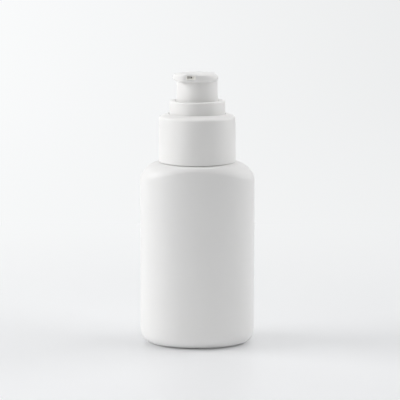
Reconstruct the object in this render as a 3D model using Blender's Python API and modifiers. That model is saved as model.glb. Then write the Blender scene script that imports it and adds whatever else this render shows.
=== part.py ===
"""White lotion pump on an oval bottle, with every moulding as its own solid.

Everything turns or slides on one upright axis, so the bottle stands at the origin with that axis on +Z.
The spout looks towards -Y, turned a little to the viewer's left. Lengths are in metres.
"""

import math

import bmesh
import bpy
from mathutils import Matrix, Vector

# Clearances shared by all pieces
SEAT_GAP = 0.0003
RUNNING_GAP = 0.00015
OVERRUN = 0.001

# Bottle: widths run through the axis, other radii grow outwards from the pump, heights rise from the table
BODY_WIDTH = 0.0426
BODY_DEPTH = 0.0314
BODY_HEIGHT = 0.0683
BODY_WALL = 0.0010
FOOT_RADIUS = 0.0048
FOOT_WIDTH = 0.0026
RECESS_DEPTH = 0.0008
RECESS_SLOPE = 0.0016
NECK_HEIGHT = 0.0110
NECK_WALL = 0.0019
NECK_AIR = 0.0025
NECK_FILLET = 0.0008
BEAD_PROUD = 0.0009
BEAD_RISE = 0.0014
BEAD_WIDTH = 0.0012
RIM_ROUND = 0.0003
OVAL_POWER = 2.1
SHOULDER_POWER = 1.85
SHOULDER_DROP_SHARE = 0.88

# Gasket and closure
GASKET_THICKNESS = 0.0008
THREAD_DEPTH = 0.00115
THREAD_CLEARANCE = 0.0002
CLOSURE_WALL = 0.00085
CLOSURE_TUCK = 0.0006
WEB_THICKNESS = 0.0010
RING_WALL = 0.00208
RING_OVERLAP = 0.0016
RING_ROUND = 0.0005

# Collar shell
SHELL_WALL = 0.0010
SHELL_DRAFT = 0.0002
SHELL_GAP = 0.0003
SHELL_TUCK = 0.0011
SHELL_RISE = 0.0020
CONE_RISE = 0.0014
SHELL_TOP_WALL = 0.0011
SHELL_EDGE_ROUND = 0.0009
SHELL_FOOT_ROUND = 0.00025

# Stem, piston and barrel, from the axis outwards
STEM_RADIUS = 0.0022
STEM_WALL = 0.0009
STEM_STOP = 0.0012
STEM_STOP_THICKNESS = 0.0012
STEM_DRIVE = 0.0007
STEM_DRIVE_LENGTH = 0.0069
PORT_HEIGHT = 0.0009
PISTON_HUB_WALL = 0.00045
PISTON_GROOVE = 0.00045
PISTON_LIP = 0.00040
PISTON_HEIGHT = 0.0044
PISTON_WEB = 0.0010
PISTON_SLIP = 0.0005
PLUG_HEAD_PROUD = 0.0007
PLUG_HEAD_THICKNESS = 0.0007
PLUG_SHAFT_LENGTH = 0.0050
PLUG_FLUTE_DEPTH = 0.00035
PLUG_FLUTES = 4
PUMP_STROKE = 0.0050

# Pump housing
BARREL_WALL = 0.0009
CUP_STEP = 0.0008
CUP_WALL = 0.0009
CUP_FLOOR_GAP = 0.0010
FLANGE_THICKNESS = 0.0010
CAGE_RADIUS = 0.0021
CAGE_DEPTH = 0.0016
SEAT_HEIGHT = 0.0012
INLET_RADIUS = 0.0012
INLET_LENGTH = 0.0008
SOCKET_LENGTH = 0.0074
SOCKET_WALL = 0.0010

# Inlet ball, spring and dip tube
BALL_RADIUS = 0.0016
SPRING_LENGTH = 0.0107
SPRING_WIRE_RADIUS = 0.0003
SPRING_TURNS = 7
DIP_TUBE_RADIUS = 0.00195
DIP_TUBE_WALL = 0.0005
DIP_TUBE_CLEARANCE = 0.0042
MITRE_BLOCK = 0.0080
MITRE_ANGLE = 45.0
MITRE_START_SHARE = 0.5

# Stem guide, the turret that closes the housing
GUIDE_PLUG_LENGTH = 0.0060
GUIDE_PLUG_WALL = 0.0009
GUIDE_SHOULDER = 0.0002
GUIDE_LIP_PROUD = 0.00045
GUIDE_LIP_THICKNESS = 0.0007
GUIDE_CEILING = 0.0011
RING_TO_LIP = 0.00085

# Actuator
HEAD_GAP = 0.0005
HEAD_WALL = 0.00115
HEAD_DRAFT = 0.00023
HEAD_FOOT_ROUND = 0.0003
BROW_CLEARANCE = 0.0013
BROW_HEIGHT = 0.0038
BROW_RISE = 0.0012
TOP_RISE = 0.0004
BROW_PROUD = 0.0009
BROW_OFFSET = 0.0034
BROW_EDGE_ROUND = 0.0004
BROW_EDGE_LIFT = 0.00005
TOP_ROUND = 0.0016
TOP_DROP = 0.0007
FACET_HALF_WIDTH = 0.0028
SPOUT_TURN = -14.0
SOCKET_TUBE_WALL = 0.00115
SOCKET_TUBE_RISE = 0.0007
STEM_ENGAGEMENT = 0.0068
CHIMNEY_RADIUS = 0.0011
CHANNEL_RADIUS = 0.00075
HOLLOW_ROOF = 0.0040
FACET_EDGE_SHARE = 0.25
FACET_EASE_ANGLE = 60.0

# Nozzle core and the flared mouth that it sits in
MOUTH_DROP = 0.0013
MOUTH_DEPTH = 0.0007
MOUTH_FLARE = 0.0007
MOUTH_FLARE_DOWN = 0.00045
POCKET_WIDTH = 0.0038
POCKET_HEIGHT = 0.0018
POCKET_DEPTH = 0.0032
POCKET_CORNER = 0.0005
SLOT_WIDTH = 0.0026
SLOT_HEIGHT = 0.0011
SLOT_CORNER = 0.00045
SLOT_DEPTH = 0.0013
CORE_BORE_RADIUS = 0.0004

# Facets
BODY_SEGMENTS = 52
COLLAR_SEGMENTS = 48
HEAD_SEGMENTS = 44
FACET_SEGMENTS = 2
INNER_SEGMENTS = 28
SMALL_SEGMENTS = 20
SHOULDER_STEPS = 7
FOOT_STEPS = 5
TOP_STEPS = 4
FILLET_STEPS = 3
CORNER_STEPS = 3
BROW_EDGE_STEPS = 2
BALL_SEGMENTS = 16
BALL_RINGS = 10
CHANNEL_SEGMENTS = 12
CURL_POINTS = 10
CURL_SIDES = 1
SHARP_ANGLE = 35.0
MERGE_DISTANCE = 0.000001

# Radii that follow, from the stem outwards
stem_bore = STEM_RADIUS - STEM_WALL
piston_bore = STEM_RADIUS + RUNNING_GAP
piston_hub = piston_bore + PISTON_HUB_WALL
piston_lip_bore = piston_hub + PISTON_GROOVE
piston_radius = piston_lip_bore + PISTON_LIP
barrel_bore = piston_radius + RUNNING_GAP
barrel_radius = barrel_bore + BARREL_WALL
cup_bore = barrel_radius + CUP_STEP
cup_radius = cup_bore + CUP_WALL
guide_plug = cup_bore - SEAT_GAP
guide_neck = cup_radius + GUIDE_SHOULDER
web_hole = guide_neck + SEAT_GAP
guide_lip = web_hole + GUIDE_LIP_PROUD
ring_bore = guide_lip + RING_TO_LIP
ring_radius = ring_bore + RING_WALL
head_radius = ring_bore - HEAD_GAP
head_top_radius = head_radius - HEAD_DRAFT
neck_bore = cup_radius + NECK_AIR
neck_radius = neck_bore + NECK_WALL
closure_bore = neck_radius + THREAD_DEPTH + THREAD_CLEARANCE
closure_radius = closure_bore + CLOSURE_WALL
shell_bore = closure_radius + SEAT_GAP
shell_radius = shell_bore + SHELL_WALL
shell_hole = ring_radius + SEAT_GAP
shoulder_start = shell_radius - SHELL_TUCK
half_width = BODY_WIDTH / 2
half_depth = BODY_DEPTH / 2

# Heights that follow, from the table up to the head
neck_top = BODY_HEIGHT + NECK_HEIGHT
gasket_bottom = neck_top + SEAT_GAP
gasket_top = gasket_bottom + GASKET_THICKNESS
flange_bottom = gasket_top + SEAT_GAP
flange_top = flange_bottom + FLANGE_THICKNESS
web_bottom = flange_top + SEAT_GAP
web_top = web_bottom + WEB_THICKNESS
lip_bottom = web_top + SEAT_GAP
lip_top = lip_bottom + GUIDE_LIP_THICKNESS
head_bottom = lip_top + SEAT_GAP + PUMP_STROKE
ring_top = head_bottom + RING_OVERLAP
brow_bottom = ring_top + PUMP_STROKE + BROW_CLEARANCE
head_top = brow_bottom + BROW_HEIGHT
shell_bottom = BODY_HEIGHT + SHELL_GAP
shell_edge = web_top + SHELL_RISE
cone_top = shell_edge + CONE_RISE
closure_bottom = shell_bottom + CLOSURE_TUCK

# Heights that follow, from the stem guide down to the dip tube
guide_ceiling = lip_top - GUIDE_CEILING
guide_seat = flange_top + SEAT_GAP
guide_plug_bottom = guide_seat - GUIDE_PLUG_LENGTH
cup_floor = guide_plug_bottom - CUP_FLOOR_GAP
stem_stop_top = guide_ceiling - SEAT_GAP
stem_stop_bottom = stem_stop_top - STEM_STOP_THICKNESS
drive_bottom = stem_stop_bottom - STEM_DRIVE_LENGTH
piston_top = drive_bottom - PISTON_SLIP - SEAT_GAP
piston_bottom = piston_top - PISTON_HEIGHT
plug_top = piston_bottom - SEAT_GAP
plug_bottom = plug_top - PLUG_HEAD_THICKNESS
stem_bottom = plug_top + PORT_HEIGHT
socket_tube_bottom = head_bottom + SOCKET_TUBE_RISE
stem_top = socket_tube_bottom + STEM_ENGAGEMENT
spring_top = plug_bottom - SEAT_GAP
spring_bottom = spring_top - SPRING_LENGTH
ledge = spring_bottom - SEAT_GAP
seat_top = ledge - CAGE_DEPTH
seat_bottom = seat_top - SEAT_HEIGHT
socket_top = seat_bottom - INLET_LENGTH
socket_bottom = socket_top - SOCKET_LENGTH
socket_bore = DIP_TUBE_RADIUS + RUNNING_GAP
socket_radius = socket_bore + SOCKET_WALL
dip_tube_top = socket_top - SEAT_GAP
dip_tube_bottom = BODY_WALL + RECESS_DEPTH + DIP_TUBE_CLEARANCE

# Spout values that follow; distances run from the axis towards the spout
brow_radius = head_top_radius + BROW_PROUD
facet_distance = BROW_OFFSET + math.sqrt(brow_radius ** 2 - FACET_HALF_WIDTH ** 2)
mouth_height = head_top + TOP_RISE - MOUTH_DROP
pocket_back = facet_distance - POCKET_DEPTH


def clear_scene():
    """Remove everything that a new file starts with."""
    for item in list(bpy.data.objects):
        bpy.data.objects.remove(item, do_unlink=True)


def new_collection(name):
    """Collection linked to the scene."""
    collection = bpy.data.collections.new(name)
    bpy.context.scene.collection.children.link(collection)
    return collection


def material(name, colour, roughness, metallic=0.0):
    """Principled material with one colour."""
    result = bpy.data.materials.new(name)
    result.use_nodes = True
    shader = result.node_tree.nodes["Principled BSDF"]
    shader.inputs["Base Color"].default_value = (*colour, 1.0)
    shader.inputs["Roughness"].default_value = roughness
    shader.inputs["Metallic"].default_value = metallic
    return result


clear_scene()
parts = new_collection("pump_bottle")
cutters = new_collection("cutters")


def joint_axis(name, height, parent=None):
    """Empty on the upright axis that carries the pieces of one moving group."""
    empty = bpy.data.objects.new(name, None)
    empty.empty_display_size = neck_radius
    empty.parent = parent
    empty.location.z = height - (parent.matrix_world.translation.z if parent else 0)
    parts.objects.link(empty)
    bpy.context.view_layer.update()
    return empty


def add_piece(name, mesh, finish, group, height=0.0):
    """Link a mesh as a piece of a group, with its origin on the axis at this height.

    The mesh is given in world heights, so it is lowered by the same amount.
    """
    piece = bpy.data.objects.new(name, mesh)
    mesh.transform(Matrix.Translation((0, 0, -height)))
    mesh.materials.append(finish)
    piece.parent = group
    piece.location.z = height - (group.matrix_world.translation.z if group else 0)
    parts.objects.link(piece)
    return piece


def add_cutter(name, mesh, group):
    """Link a mesh as a hidden cutter of a group."""
    cutter = bpy.data.objects.new(name, mesh)
    cutter.parent = group
    cutter.location.z = -group.matrix_world.translation.z
    cutter.hide_render = True
    cutter.display_type = "WIRE"
    cutters.objects.link(cutter)
    return cutter


def cut(piece, cutter, operation="DIFFERENCE"):
    """Boolean that keeps the exact solver."""
    step = piece.modifiers.new(cutter.name, "BOOLEAN")
    step.operation = operation
    step.object = cutter


def smooth(mesh):
    """Smooth shading with the real edges kept sharp."""
    mesh.shade_smooth()
    mesh.set_sharp_from_angle(angle=math.radians(SHARP_ANGLE))


def outline(corners):
    """Outline points from corners (radius, height, rounding); a rounded corner becomes an arc.

    Each rounding is limited by the walls beside it.
    """
    points = []
    for index, corner in enumerate(corners):
        here = Vector(corner[:2])
        before = Vector(corners[index - 1][:2])
        after = Vector(corners[(index + 1) % len(corners)][:2])
        rounding = corner[2] if len(corner) > 2 else 0.0
        if rounding == 0.0:
            points.append(tuple(here))
            continue
        back = (before - here).normalized()
        ahead = (after - here).normalized()
        half_angle = back.angle(ahead) / 2
        reach = rounding / math.tan(half_angle)
        limit = min((before - here).length, (after - here).length) / 2
        reach = min(reach, limit)
        radius = reach * math.tan(half_angle)
        centre = here + (back + ahead).normalized() * (radius / math.sin(half_angle))
        first = here + back * reach - centre
        last = here + ahead * reach - centre
        turn = first.angle_signed(last)
        for step in range(FILLET_STEPS + 1):
            arm = first.copy()
            arm.rotate(Matrix.Rotation(-turn * step / FILLET_STEPS, 2))
            points.append(tuple(centre + arm))
    return points


def profile_mesh(name, points, closed):
    """Wire of the profile in the XZ plane."""
    count = len(points)
    edges = [(index, index + 1) for index in range(count - 1)]
    if closed:
        edges.append((count - 1, 0))
    mesh = bpy.data.meshes.new(name)
    mesh.from_pydata([(radius, 0, height) for radius, height in points], edges, [])
    return mesh


def turn_about_axis(item, segments):
    """Screw modifier that sweeps a profile once round the axis."""
    screw = item.modifiers.new("turned", "SCREW")
    screw.angle = 2 * math.pi
    screw.steps = segments
    screw.render_steps = segments
    screw.use_merge_vertices = True
    screw.merge_threshold = MERGE_DISTANCE
    screw.use_smooth_shade = True


def turned(name, corners, finish, group, segments, closed=True):
    """Turned piece whose origin lies on the axis at its lowest point."""
    points = outline(corners)
    mesh = profile_mesh(name, points, closed)
    piece = add_piece(name, mesh, finish, group, min(height for radius, height in points))
    turn_about_axis(piece, segments)
    return piece


def skin(name, rings):
    """Closed surface through a row of rings; the first and last are single points."""
    shape = bmesh.new()
    rows = [[shape.verts.new(point) for point in ring] for ring in rings]
    for lower, upper in zip(rows, rows[1:]):
        count = max(len(lower), len(upper))
        for index in range(count):
            following = (index + 1) % count
            corners = [lower[index % len(lower)], lower[following % len(lower)],
                       upper[following % len(upper)], upper[index % len(upper)]]
            shape.faces.new(list(dict.fromkeys(corners)))
    bmesh.ops.recalc_face_normals(shape, faces=shape.faces[:])
    mesh = bpy.data.meshes.new(name)
    shape.to_mesh(mesh)
    shape.free()
    smooth(mesh)
    return mesh


def extruded(name, points, length):
    """Mesh of a flat outline in X and Y, drawn out along Z about the middle."""
    curve = bpy.data.curves.new(name, "CURVE")
    curve.dimensions = "2D"
    curve.fill_mode = "BOTH"
    curve.extrude = length / 2
    spline = curve.splines.new("POLY")
    spline.points.add(len(points) - 1)
    for point, (x, y) in zip(spline.points, points):
        point.co = (x, y, 0, 1)
    spline.use_cyclic_u = True
    item = bpy.data.objects.new(name, curve)
    cutters.objects.link(item)
    evaluated = item.evaluated_get(bpy.context.evaluated_depsgraph_get())
    mesh = bpy.data.meshes.new_from_object(evaluated)
    bpy.data.objects.remove(item)
    shape = bmesh.new()
    shape.from_mesh(mesh)
    bmesh.ops.remove_doubles(shape, verts=shape.verts[:], dist=MERGE_DISTANCE)
    bmesh.ops.recalc_face_normals(shape, faces=shape.faces[:])
    shape.to_mesh(mesh)
    shape.free()
    return mesh


def rounded_rectangle(width, height, corner):
    """Points of a rectangle with round corners, anticlockwise about its centre."""
    across = width / 2 - corner
    up = height / 2 - corner
    centres = [(across, up), (-across, up), (-across, -up), (across, -up)]
    points = []
    for quarter, (x, y) in enumerate(centres):
        for step in range(CORNER_STEPS + 1):
            angle = math.pi / 2 * (quarter + step / CORNER_STEPS)
            points.append((x + corner * math.cos(angle), y + corner * math.sin(angle)))
    return points


def facing_spout(mesh, distance, height):
    """Turn a bar that was drawn along Z so that it runs along Y, and set its middle before the axis."""
    mesh.transform(Matrix.Rotation(math.radians(90), 4, "X"))
    mesh.transform(Matrix.Translation((0, -distance, height)))
    return mesh


white = material("white_polypropylene", (0.84, 0.84, 0.835), 0.42)
body_white = material("white_polyethylene", (0.83, 0.835, 0.835), 0.48)
natural = material("natural_polypropylene", (0.78, 0.79, 0.78), 0.35)
seal = material("soft_seal", (0.72, 0.73, 0.73), 0.60)
steel = material("spring_steel", (0.62, 0.62, 0.63), 0.28, 1.0)

gasket_axis = joint_axis("gasket_axis", gasket_bottom)
pump_axis = joint_axis("pump_axis", flange_bottom, gasket_axis)
closure_axis = joint_axis("closure_axis", web_bottom, pump_axis)
stem_axis = joint_axis("stem_axis", stem_stop_top, pump_axis)
actuator_axis = joint_axis("actuator_axis", stem_top, stem_axis)
actuator_axis.rotation_euler.z = math.radians(SPOUT_TURN)


# Bottle: a loft from the neck's circle through the shoulder to the oval wall, with an inner skin
def power(value, exponent):
    """Signed power, for outlines that lie between an ellipse and a rectangle."""
    return math.copysign(abs(value) ** exponent, value)


def oval(inset):
    """Oval wall section drawn in by an inset, as plan points."""
    points = []
    for index in range(BODY_SEGMENTS):
        angle = 2 * math.pi * index / BODY_SEGMENTS
        x = (half_width - inset) * power(math.cos(angle), 2 / OVAL_POWER)
        y = (half_depth - inset) * power(math.sin(angle), 2 / OVAL_POWER)
        points.append((x, y))
    return points


def level(plan, height):
    """Plan points set at one height."""
    return [(x, y, height) for x, y in plan]


def circle(radius, height):
    """Ring of the round neck."""
    step = 2 * math.pi / BODY_SEGMENTS
    return [(radius * math.cos(step * index), radius * math.sin(step * index), height)
            for index in range(BODY_SEGMENTS)]


def shoulder(fraction, wall):
    """Ring of the shoulder, from the wall (0) to the neck (1), set in by a wall thickness.

    The shoulder falls furthest where the body stands out furthest, as on the real moulding.
    """
    angle = math.pi / 2 * (1 - fraction)
    across = math.sin(angle) ** (2 / SHOULDER_POWER)
    fall = 1 - math.cos(angle) ** (2 / SHOULDER_POWER)
    ring = []
    inner = circle(shoulder_start - wall, 0)
    for (x, y), (inner_x, inner_y, flat) in zip(oval(wall), inner):
        overhang = math.hypot(x, y) - (shoulder_start - wall)
        height = BODY_HEIGHT - wall - fall * overhang * SHOULDER_DROP_SHARE
        ring.append((inner_x + (x - inner_x) * across, inner_y + (y - inner_y) * across, height))
    return ring


def foot(step, wall):
    """Ring of the rounded foot, from the standing rim (0) up to the wall (FOOT_STEPS)."""
    angle = math.pi / 2 * step / FOOT_STEPS
    radius = FOOT_RADIUS - wall
    return level(oval(wall + radius * (1 - math.sin(angle))), FOOT_RADIUS - radius * math.cos(angle))


def neck_rings():
    """Outer rings of the neck, from the shoulder to the rim, with its handling bead."""
    bead_bottom = BODY_HEIGHT + BEAD_RISE
    bead_top = bead_bottom + BEAD_WIDTH
    bead_radius = neck_radius + BEAD_PROUD
    rings = []
    for step in range(FILLET_STEPS + 1):
        angle = math.pi / 2 * step / FILLET_STEPS
        rings.append(circle(neck_radius + NECK_FILLET * (1 - math.sin(angle)),
                            BODY_HEIGHT + NECK_FILLET * (1 - math.cos(angle))))
    rings.append(circle(neck_radius, bead_bottom))
    rings.append(circle(bead_radius, bead_bottom + RIM_ROUND))
    rings.append(circle(bead_radius, bead_top - RIM_ROUND))
    rings.append(circle(neck_radius, bead_top))
    rings.append(circle(neck_radius, neck_top - RIM_ROUND))
    rings.append(circle(neck_radius - RIM_ROUND, neck_top))
    return rings


rim_inset = FOOT_RADIUS + FOOT_WIDTH
bottle_rings = [[(0, 0, RECESS_DEPTH)]]
bottle_rings.append(level(oval(rim_inset + RECESS_SLOPE), RECESS_DEPTH))
bottle_rings.append(level(oval(rim_inset), 0))
bottle_rings += [foot(step, 0) for step in range(FOOT_STEPS + 1)]
bottle_rings += [shoulder(step / SHOULDER_STEPS, 0) for step in range(SHOULDER_STEPS + 1)]
bottle_rings += neck_rings()
bottle_rings.append(circle(neck_bore, neck_top))
bottle_rings.append(circle(neck_bore, BODY_HEIGHT - BODY_WALL + NECK_FILLET))
bottle_rings.append(circle(neck_bore + NECK_FILLET, BODY_HEIGHT - BODY_WALL))
bottle_rings += [shoulder(1 - step / SHOULDER_STEPS, BODY_WALL) for step in range(SHOULDER_STEPS + 1)]
bottle_rings += [foot(FOOT_STEPS - step, BODY_WALL) for step in range(FOOT_STEPS + 1)]
bottle_rings.append(level(oval(rim_inset), BODY_WALL))
bottle_rings.append(level(oval(rim_inset + RECESS_SLOPE), BODY_WALL + RECESS_DEPTH))
bottle_rings.append([(0, 0, BODY_WALL + RECESS_DEPTH)])
add_piece("bottle", skin("bottle", bottle_rings), body_white, None)

# Gasket between the neck's rim and the pump's flange
gasket_radius = neck_radius + RUNNING_GAP
turned("neck_gasket", [
    (neck_bore + SEAT_GAP, gasket_top),
    (gasket_radius, gasket_top),
    (gasket_radius, gasket_bottom),
    (neck_bore + SEAT_GAP, gasket_bottom),
], seal, gasket_axis, COLLAR_SEGMENTS)


# Collar shell: smooth sleeve with a shallow cone, open at the top for the closure's ring
shell_edge_radius = shell_radius - SHELL_DRAFT
cone_slope = CONE_RISE / (shell_edge_radius - shell_hole)


def cone_underside(radius):
    """Height of the cone's inner face at a radius."""
    return cone_top - SHELL_TOP_WALL - cone_slope * (radius - shell_hole)


turned("collar_shell", [
    (shell_hole, cone_top, SHELL_FOOT_ROUND),
    (shell_edge_radius, shell_edge, SHELL_EDGE_ROUND),
    (shell_radius, shell_bottom, SHELL_FOOT_ROUND),
    (shell_bore, shell_bottom),
    (shell_bore, cone_underside(shell_bore)),
    (shell_hole, cone_underside(shell_hole)),
], white, closure_axis, COLLAR_SEGMENTS)

# Screw closure: threaded sleeve, web over the flange, and the ring that rises through the shell
turned("screw_closure", [
    (ring_bore, ring_top, RIM_ROUND),
    (ring_radius, ring_top, RING_ROUND),
    (ring_radius, cone_underside(ring_radius) - SEAT_GAP),
    (closure_radius, cone_underside(closure_radius) - SEAT_GAP, RING_ROUND),
    (closure_radius, closure_bottom, RIM_ROUND),
    (closure_bore, closure_bottom),
    (closure_bore, web_bottom),
    (web_hole, web_bottom),
    (web_hole, web_top),
    (ring_bore, web_top),
], white, closure_axis, COLLAR_SEGMENTS)

# Pump housing: flange, cup, barrel, ball cage and dip tube socket in one moulding
barrel_foot = ledge - BARREL_WALL
turned("pump_housing", [
    (cup_bore, flange_top),
    (gasket_radius, flange_top),
    (gasket_radius, flange_bottom),
    (cup_radius, flange_bottom),
    (cup_radius, cup_floor - BARREL_WALL, RIM_ROUND),
    (barrel_radius, cup_floor - BARREL_WALL - CUP_STEP),
    (barrel_radius, barrel_foot, RIM_ROUND),
    (socket_radius, seat_bottom),
    (socket_radius, socket_bottom, RIM_ROUND),
    (socket_bore, socket_bottom),
    (socket_bore, socket_top),
    (INLET_RADIUS, socket_top),
    (INLET_RADIUS, seat_bottom),
    (CAGE_RADIUS, seat_top),
    (CAGE_RADIUS, ledge),
    (barrel_bore, ledge),
    (barrel_bore, cup_floor - RIM_ROUND),
    (barrel_bore + RIM_ROUND, cup_floor),
    (cup_bore, cup_floor),
], natural, pump_axis, INNER_SEGMENTS)

# Stem guide: plug in the cup, shoulder on the flange, and the lip that keeps the closure on the pump
guide_bore = guide_plug - GUIDE_PLUG_WALL
turned("stem_guide", [
    (piston_bore, lip_top),
    (guide_lip, lip_top, RIM_ROUND),
    (guide_lip, lip_bottom),
    (guide_neck, lip_bottom),
    (guide_neck, guide_seat),
    (guide_plug, guide_seat),
    (guide_plug, guide_plug_bottom, RIM_ROUND),
    (guide_bore, guide_plug_bottom),
    (guide_bore, guide_ceiling),
    (piston_bore, guide_ceiling),
], natural, pump_axis, INNER_SEGMENTS)

# Dip tube, mitred at its foot so that it can't seal against the floor
dip_tube = turned("dip_tube", [
    (DIP_TUBE_RADIUS - DIP_TUBE_WALL, dip_tube_top),
    (DIP_TUBE_RADIUS, dip_tube_top),
    (DIP_TUBE_RADIUS, dip_tube_bottom),
    (DIP_TUBE_RADIUS - DIP_TUBE_WALL, dip_tube_bottom),
], natural, pump_axis, SMALL_SEGMENTS)
mitre = bmesh.new()
bmesh.ops.create_cube(mitre, size=MITRE_BLOCK)
bmesh.ops.rotate(mitre, verts=mitre.verts[:], matrix=Matrix.Rotation(math.radians(MITRE_ANGLE), 3, "Y"))
mitre_reach = MITRE_BLOCK * math.sin(math.radians(MITRE_ANGLE)) - DIP_TUBE_RADIUS * MITRE_START_SHARE
bmesh.ops.translate(mitre, verts=mitre.verts[:], vec=(mitre_reach, 0, dip_tube_bottom))
mitre_mesh = bpy.data.meshes.new("dip_tube_mitre")
mitre.to_mesh(mitre_mesh)
mitre.free()
cut(dip_tube, add_cutter("dip_tube_mitre", mitre_mesh, pump_axis))

# Inlet ball, resting in the conical seat
seat_angle = math.atan2(CAGE_RADIUS - INLET_RADIUS, SEAT_HEIGHT)
seat_apex = seat_bottom - INLET_RADIUS / math.tan(seat_angle)
ball_height = seat_apex + (BALL_RADIUS + SEAT_GAP) / math.sin(seat_angle)
ball = bmesh.new()
bmesh.ops.create_uvsphere(ball, u_segments=BALL_SEGMENTS, v_segments=BALL_RINGS, radius=BALL_RADIUS)
bmesh.ops.translate(ball, verts=ball.verts[:], vec=(0, 0, ball_height))
ball_mesh = bpy.data.meshes.new("inlet_ball")
ball.to_mesh(ball_mesh)
ball.free()
smooth(ball_mesh)
add_piece("inlet_ball", ball_mesh, steel, pump_axis, ball_height)

# Return spring: one unbroken wire from the barrel's ledge to the plug's head
spring_mean = (CAGE_RADIUS + barrel_bore) / 2 - SPRING_WIRE_RADIUS
spring_climb = SPRING_LENGTH - 2 * SPRING_WIRE_RADIUS
spring_points = []
for index in range(SPRING_TURNS * CURL_POINTS + 1):
    turn = 2 * math.pi * index / CURL_POINTS
    height = spring_climb * index / (SPRING_TURNS * CURL_POINTS)
    spring_points.append(Vector((spring_mean * math.cos(turn), spring_mean * math.sin(turn), height)))
spring_curve = bpy.data.curves.new("return_spring", "CURVE")
spring_curve.dimensions = "3D"
spring_curve.bevel_depth = SPRING_WIRE_RADIUS
spring_curve.bevel_resolution = CURL_SIDES
spring_curve.use_fill_caps = True
spring_spline = spring_curve.splines.new("POLY")
spring_spline.points.add(len(spring_points) - 1)
for point, place in zip(spring_spline.points, spring_points):
    point.co = (*place, 1)
spring_curve.materials.append(steel)
spring = bpy.data.objects.new("return_spring", spring_curve)
spring.parent = pump_axis
spring.location.z = spring_bottom + SPRING_WIRE_RADIUS - flange_bottom
parts.objects.link(spring)
least_gap = min((far - near).length for index, near in enumerate(spring_points)
                for far in spring_points[index + CURL_POINTS // 2:]) - 2 * SPRING_WIRE_RADIUS
print(f"return_spring: least gap between curls {least_gap * 1000:.2f} mm")

# Stem: hollow tube with the stop under the guide and the shoulder that drives the piston
turned("stem", [
    (stem_bore, stem_top),
    (STEM_RADIUS, stem_top, RUNNING_GAP),
    (STEM_RADIUS, stem_stop_top),
    (STEM_RADIUS + STEM_STOP, stem_stop_top),
    (STEM_RADIUS + STEM_STOP, stem_stop_bottom),
    (STEM_RADIUS + STEM_DRIVE, stem_stop_bottom),
    (STEM_RADIUS + STEM_DRIVE, drive_bottom),
    (STEM_RADIUS, drive_bottom),
    (STEM_RADIUS, stem_bottom),
    (stem_bore, stem_bottom),
], natural, stem_axis, SMALL_SEGMENTS)

# Piston: hub on the stem, web, and a seal lip that reaches up and down the barrel
piston_middle = (piston_top + piston_bottom) / 2
groove_top = piston_middle + PISTON_WEB / 2
groove_bottom = piston_middle - PISTON_WEB / 2
turned("piston", [
    (piston_bore, piston_top),
    (piston_hub, piston_top),
    (piston_hub, groove_top),
    (piston_lip_bore, groove_top),
    (piston_lip_bore, piston_top),
    (piston_radius, piston_top),
    (piston_radius, piston_bottom),
    (piston_lip_bore, piston_bottom),
    (piston_lip_bore, groove_bottom),
    (piston_hub, groove_bottom),
    (piston_hub, piston_bottom),
    (piston_bore, piston_bottom),
], seal, stem_axis, INNER_SEGMENTS)

# Stem plug: round head under the piston, with a fluted shaft pressed up into the stem
shaft_radius = stem_bore - RUNNING_GAP
plug = turned("stem_plug", [
    (0, plug_top),
    (STEM_RADIUS + PLUG_HEAD_PROUD, plug_top, RUNNING_GAP),
    (STEM_RADIUS + PLUG_HEAD_PROUD, plug_bottom),
    (0, plug_bottom),
], natural, stem_axis, SMALL_SEGMENTS, closed=False)
flute_middle = shaft_radius - PLUG_FLUTE_DEPTH / 2
shaft_points = []
for index in range(PLUG_FLUTES * FILLET_STEPS * 2):
    angle = math.pi * index / (PLUG_FLUTES * FILLET_STEPS)
    radius = flute_middle + PLUG_FLUTE_DEPTH / 2 * math.cos(PLUG_FLUTES * angle)
    shaft_points.append((radius * math.cos(angle), radius * math.sin(angle)))
shaft_foot = (plug_top + plug_bottom) / 2
shaft_length = plug_top + PLUG_SHAFT_LENGTH - shaft_foot
shaft_mesh = extruded("plug_shaft", shaft_points, shaft_length)
shaft_mesh.transform(Matrix.Translation((0, 0, shaft_foot + shaft_length / 2)))
cut(plug, add_cutter("plug_shaft", shaft_mesh, stem_axis), "UNION")


# Actuator: tapered cylinder whose top swells forward into the spout, lofted as one skin
def spout_angles():
    """Angles from the spout's direction, with a row of points on each edge of the flat front."""
    edge = math.atan2(FACET_HALF_WIDTH, facet_distance)
    front = [edge * step / FACET_SEGMENTS for step in range(-FACET_SEGMENTS, FACET_SEGMENTS)]
    rest = 2 * math.pi - 2 * edge
    return front + [edge + rest * step / HEAD_SEGMENTS for step in range(HEAD_SEGMENTS)]


def egg_radius(angle, inset):
    """Distance from the axis to the brow's outline: two circles, their tangents and the flat front."""
    small = head_top_radius - inset
    large = brow_radius - inset
    bearing = abs(math.remainder(angle, 2 * math.pi))
    tangent = math.acos((small - large) / BROW_OFFSET)
    touch = math.atan2(large * math.sin(tangent), BROW_OFFSET + large * math.cos(tangent))
    if bearing >= tangent:
        reach = small
    elif bearing >= touch:
        reach = small / math.cos(bearing - tangent)
    else:
        side = BROW_OFFSET * math.sin(bearing)
        reach = BROW_OFFSET * math.cos(bearing) + math.sqrt(large ** 2 - side ** 2)
    if math.cos(bearing) > 0:
        reach = min(reach, (facet_distance - inset * FACET_EDGE_SHARE) / math.cos(bearing))
    return reach


def towards_tip(radius, angle):
    """Share of the way from the back of the head (0) to the tip of the spout (1)."""
    return (radius * math.cos(angle) + head_top_radius) / (facet_distance + head_top_radius)


def underside(radius, angle):
    """Height of the brow's underside, which rises towards the tip of the spout."""
    return brow_bottom + BROW_RISE * towards_tip(radius, angle)


def head_ring(radii, heights):
    """Ring about the head from a radius and a height at each spout angle."""
    return [(-radius * math.sin(angle), -radius * math.cos(angle), height)
            for angle, radius, height in zip(spout_angles(), radii, heights)]


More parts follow.
